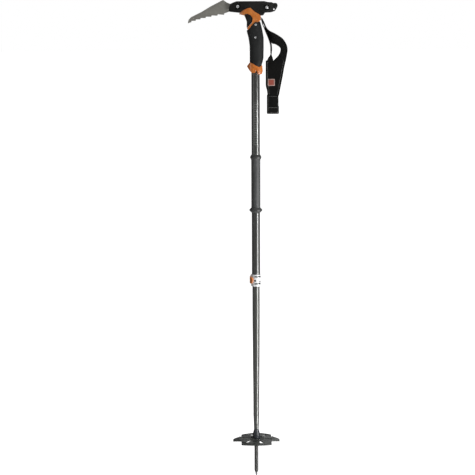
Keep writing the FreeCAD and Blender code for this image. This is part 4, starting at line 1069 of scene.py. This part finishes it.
def make_outer_leg():
    """The leg that twists flat below the head and arches round to the pad."""
    near = [(14.2, -11.0, 1006.4), (18.6, -11.0, 997.0), (22.6, -10.6, 988.0),
            (29.5, -8.6, 981.0), (40.0, -4.6, 976.2), (50.0, -1.6, 970.8), (58.8, 0.4, 964.2),
            (66.0, 0.6, 952.6), (68.2, 0.6, 941.0), (66.6, 0.2, 929.0), (64.2, 0.0, 917.0)]
    far = [(13.6, 11.0, 1005.6), (17.8, 11.0, 996.2), (21.8, 10.4, 986.8), (25.6, 7.6, 979.6),
           (29.8, 4.0, 966.6), (34.6, 1.6, 955.6), (42.0, 0.6, 953.2), (51.0, 0.6, 947.4),
           (53.2, 0.6, 941.0), (48.6, 0.2, 930.0), (37.4, 0.0, 918.4)]
    bm = cloth_ribbon(near, far, 1.9, crown=0.5)
    piece = make_piece(bm, "strap_leg_outer", "wrist_strap", WEBBING,
                       ["strap_outer_leg"])


def pad_edges():
    """Left and right edge of the wrist pad from its top down, in (x, z)."""
    left = [(21.9, 919.2), (21.8, 900.0), (21.8, 880.0), (22.0, 866.0), (24.6, 855.0),
            (25.6, 845.0)]
    right = [(64.2, 919.2), (60.6, 903.0), (57.6, 886.0), (54.6, 871.0), (51.8, 857.0),
             (49.6, 845.0)]
    return left, right


def make_pad():
    """The padded wrist section: a crowned, tapering panel."""
    low, high = node_box("strap_pad")
    half = (high.y - low.y) / 2
    left, right = pad_edges()
    near = [(x, 0.0, z) for x, z in left]
    far = [(x, 0.0, z) for x, z in right]
    bm = cloth_ribbon(near, far, 1.0, steps=7, columns=22)
    by_height = smooth_path([(z, x, 0.0) for x, z in left], 7)
    other = smooth_path([(z, x, 0.0) for x, z in right], 7)
    rows = list(zip(by_height, other))
    for vert in bm.verts:
        start, stop = min(rows, key=lambda row: abs(row[0].x - vert.co.z))
        across = (vert.co.x - start.y) / (stop.y - start.y)
        inset = min(max(min(across, 1.0 - across), 0.0) * 2.0, 1.0)
        fullness = 0.42 + 0.58 * math.sin(math.pi / 2 * min(inset * 2.2, 1.0))
        vert.co.y = math.copysign(half * fullness, vert.co.y)
    piece = make_piece(bm, "wrist_pad", "wrist_strap", STRAP_CLOTH,
                       ["strap_pad"])


def make_binding():
    """Tape folded over both long edges of the pad."""
    bm = bmesh.new()
    width, half = 3.2, 1.7
    for edge, inward in zip(pad_edges(), (1.0, -1.0)):
        way = [(x - 0.3 * inward, z) for x, z in edge]
        near = [(x, 0.0, z) for x, z in way]
        far = [(x + inward * width, 0.0, z) for x, z in way]
        strip = cloth_ribbon(near, far, 0.8, columns=5)
        for vert in strip.verts:
            vert.co.y = math.copysign(half, vert.co.y)
        add_shape(bm, strip)
    make_piece(bm, "pad_binding", "wrist_strap", WEBBING)


def add_stitches(bm, start, stop, pitch, y):
    """A row of short thread stitches between two (x, z) points, on one face."""
    start, stop = Vector((start[0], y, start[1])), Vector((stop[0], y, stop[1]))
    along = stop - start
    count = max(1, round(along.length / pitch))
    turn = math.degrees(math.atan2(along.z, along.x))
    for index in range(count):
        centre = start + along * ((index + 0.5) / count)
        size = Vector((pitch * 0.34, 0.3, 0.3))
        add_shape(bm, block_shape(centre - size, centre + size, 0.12, turn))


def make_stitching():
    """Thread rows: beside the pad's bindings, across its foot, and round the folded tab."""
    bm = bmesh.new()
    left, right = pad_edges()
    inset, face = 3.9, 1.75
    for edge, inward in ((left, 1.0), (right, -1.0)):
        shift = inset * inward
        for (x, z), (next_x, next_z) in zip(edge, edge[1:]):
            for y in (-face, face):
                add_stitches(bm, (x + shift, z), (next_x + shift, next_z), 2.6, y)
    low, high = node_box("strap_tab")
    for y in (low.y + 0.05, high.y - 0.05):
        for x in (low.x + 2.2, high.x - 2.2):
            add_stitches(bm, (x, low.z + 2.0), (x, high.z - 3.0), 2.2, y)
        for z in (low.z + 2.4, low.z + 13.4, high.z - 3.2):
            add_stitches(bm, (low.x + 3.4, z), (high.x - 3.4, z), 2.2, y)
    make_piece(bm, "strap_stitching", "wrist_strap", STITCH_THREAD)


def lay_cloth(bm, wrap):
    """Lay a UV map in mm over a piece seen from the front; wrap carries it round the sides."""
    uv_layer = bm.loops.layers.uv.new("UVMap")
    for face in bm.faces:
        for loop in face.loops:
            x, y, z = loop.vert.co
            loop[uv_layer].uv = (x + wrap * y, z)


def make_tab():
    """The folded end of the strap: two thick layers with a step where the fold ends."""
    low, high = node_box("strap_tab")
    step = low.z + 16.2
    corners = [(low.x, low.z, 2.2), (high.x, low.z, 2.2), (high.x, step, 0.8),
               (high.x - 0.9, step + 0.4, 0.4), (high.x - 0.9, high.z, 0.8),
               (low.x, high.z, 0.8)]
    bm = plate_shape(corners, low.y, high.y)
    slice_across(bm, [step], 2)
    for vert in bm.verts:
        if vert.co.z > step + 0.01:
            vert.co.y *= 0.84
    bm.normal_update()
    soften(bm, side_rim(bm), 0.9, 3)
    lay_cloth(bm, wrap=1.0)
    make_piece(bm, "strap_end_tab", "wrist_strap", WEBBING, ["strap_tab"])


def make_patch():
    """A small plain woven patch sewn to the pad."""
    low, high = node_box("strap_label")
    corners = [(low.x, low.z, 1.0), (high.x, low.z, 1.0), (high.x, high.z, 1.0),
               (low.x, high.z, 1.0)]
    bm = plate_shape(corners, low.y, high.y)
    soften(bm, side_rim(bm), 0.25, 3)
    lay_cloth(bm, wrap=0.0)
    make_piece(bm, "strap_patch", "wrist_strap", PATCH_CLOTH, ["strap_label"])


# ---------------------------------------------------------------- floor, light and camera

def make_floor():
    """A wide pale floor, just below the tip when the lower section is slid right out."""
    floor_height, floor_radius = -0.36, 90.0
    bm = bmesh.new()
    bmesh.ops.create_circle(bm, cap_ends=True, radius=floor_radius, segments=96,
                            matrix=Matrix.Translation((0.0, 0.0, floor_height)))
    mesh = bpy.data.meshes.new("floor")
    bm.to_mesh(mesh)
    bm.free()
    material, tree, shader = new_material("floor_paint", Roughness=0.9)
    shader.inputs["Base Color"].default_value = (0.93, 0.93, 0.93, 1.0)
    shader.inputs["Emission Color"].default_value = (1.0, 1.0, 1.0, 1.0)
    seen = tree.nodes.new("ShaderNodeLightPath").outputs["Is Camera Ray"]
    tree.links.new(blend_values(tree, seen, 0.0, 1.0), shader.inputs["Emission Strength"])
    mesh.materials.append(material)
    floor = bpy.data.objects.new("floor", mesh)
    bpy.context.scene.collection.objects.link(floor)


def make_world():
    """Even pale surroundings: white to the eye, softer as light."""
    world = bpy.data.worlds.new("studio")
    world.use_nodes = True
    tree = world.node_tree
    tree.nodes.clear()
    seen = tree.nodes.new("ShaderNodeLightPath").outputs["Is Camera Ray"]
    strength = blend_values(tree, seen, 0.17, 1.0)
    background = tree.nodes.new("ShaderNodeBackground")
    background.inputs["Color"].default_value = (1.0, 1.0, 1.0, 1.0)
    tree.links.new(strength, background.inputs["Strength"])
    output = tree.nodes.new("ShaderNodeOutputWorld")
    tree.links.new(background.outputs[0], output.inputs[0])
    bpy.context.scene.world = world


def add_softbox(name, place, target, width, height, power):
    light = bpy.data.lights.new(name, "AREA")
    light.shape = "RECTANGLE"
    light.size = width
    light.size_y = height
    light.energy = power
    lamp = bpy.data.objects.new(name, light)
    lamp.location = place
    lamp.rotation_euler = (Vector(target) - Vector(place)).to_track_quat("-Z", "Y").to_euler()
    bpy.context.scene.collection.objects.link(lamp)


def make_lights():
    add_softbox("key_strip", (0.66, -0.52, 0.25), (0.0, 0.0, 0.25), 0.08, 1.1, 12.5)
    add_softbox("overhead", (0.0, -0.4, 3.0), (0.0, 0.0, 0.4), 2.6, 2.6, 15.0)
    add_softbox("left_fill", (-2.1, -1.5, 1.2), (0.0, 0.0, 0.7), 0.6, 1.8, 6.0)
    add_softbox("back_fill", (0.6, 2.6, 1.6), (0.0, 0.0, 0.6), 1.6, 1.8, 10.0)


def make_camera():
    """A level-headed view from in front, a little below the grip's height, pitched down."""
    data = bpy.data.cameras.new("camera")
    data.sensor_fit = "HORIZONTAL"
    view_angle, pitch, roll = (math.radians(angle) for angle in (20.625, 8.961, -0.26))
    data.angle = view_angle
    camera = bpy.data.objects.new("camera", data)
    camera.location = (-0.040, -2.8, 0.98)
    look = Matrix.Rotation(math.radians(90) - pitch, 4, "X") @ Matrix.Rotation(roll, 4, "Z")
    camera.rotation_euler = look.to_euler()
    bpy.context.scene.collection.objects.link(camera)
    bpy.context.scene.camera = camera


bpy.context.scene.view_settings.view_transform = "Standard"
finish_cad_nodes()
make_pick()
make_head_shell("head_cheek_near", "head_shell_near", -1)
make_head_shell("head_cheek_far", "head_shell_far", 1)
make_fastener_heads("head_bolt_caps", "head_bolts", bolt_places(), side=-1, **BOLT)
make_fastener_heads("head_nut_caps", "head_nuts", bolt_places(), side=1, **BOLT)
make_hook()
make_hook_rim()
make_finger_pad()
make_grip()
make_fastener_heads("grip_screw_caps", "grip_screws", grip_screw_places(), side=-1,
                    **GRIP_SCREW)
make_fastener_heads("grip_nut_caps", "grip_screw_nuts", grip_screw_places(), side=1,
                    **GRIP_SCREW)
make_collar()
make_clamp_band()
make_lever()
make_basket_ribs()
make_tip()
make_inner_leg()
make_outer_leg()
make_pad()
make_binding()
make_tab()
make_patch()
make_stitching()
make_floor()
make_world()
make_lights()
make_camera()
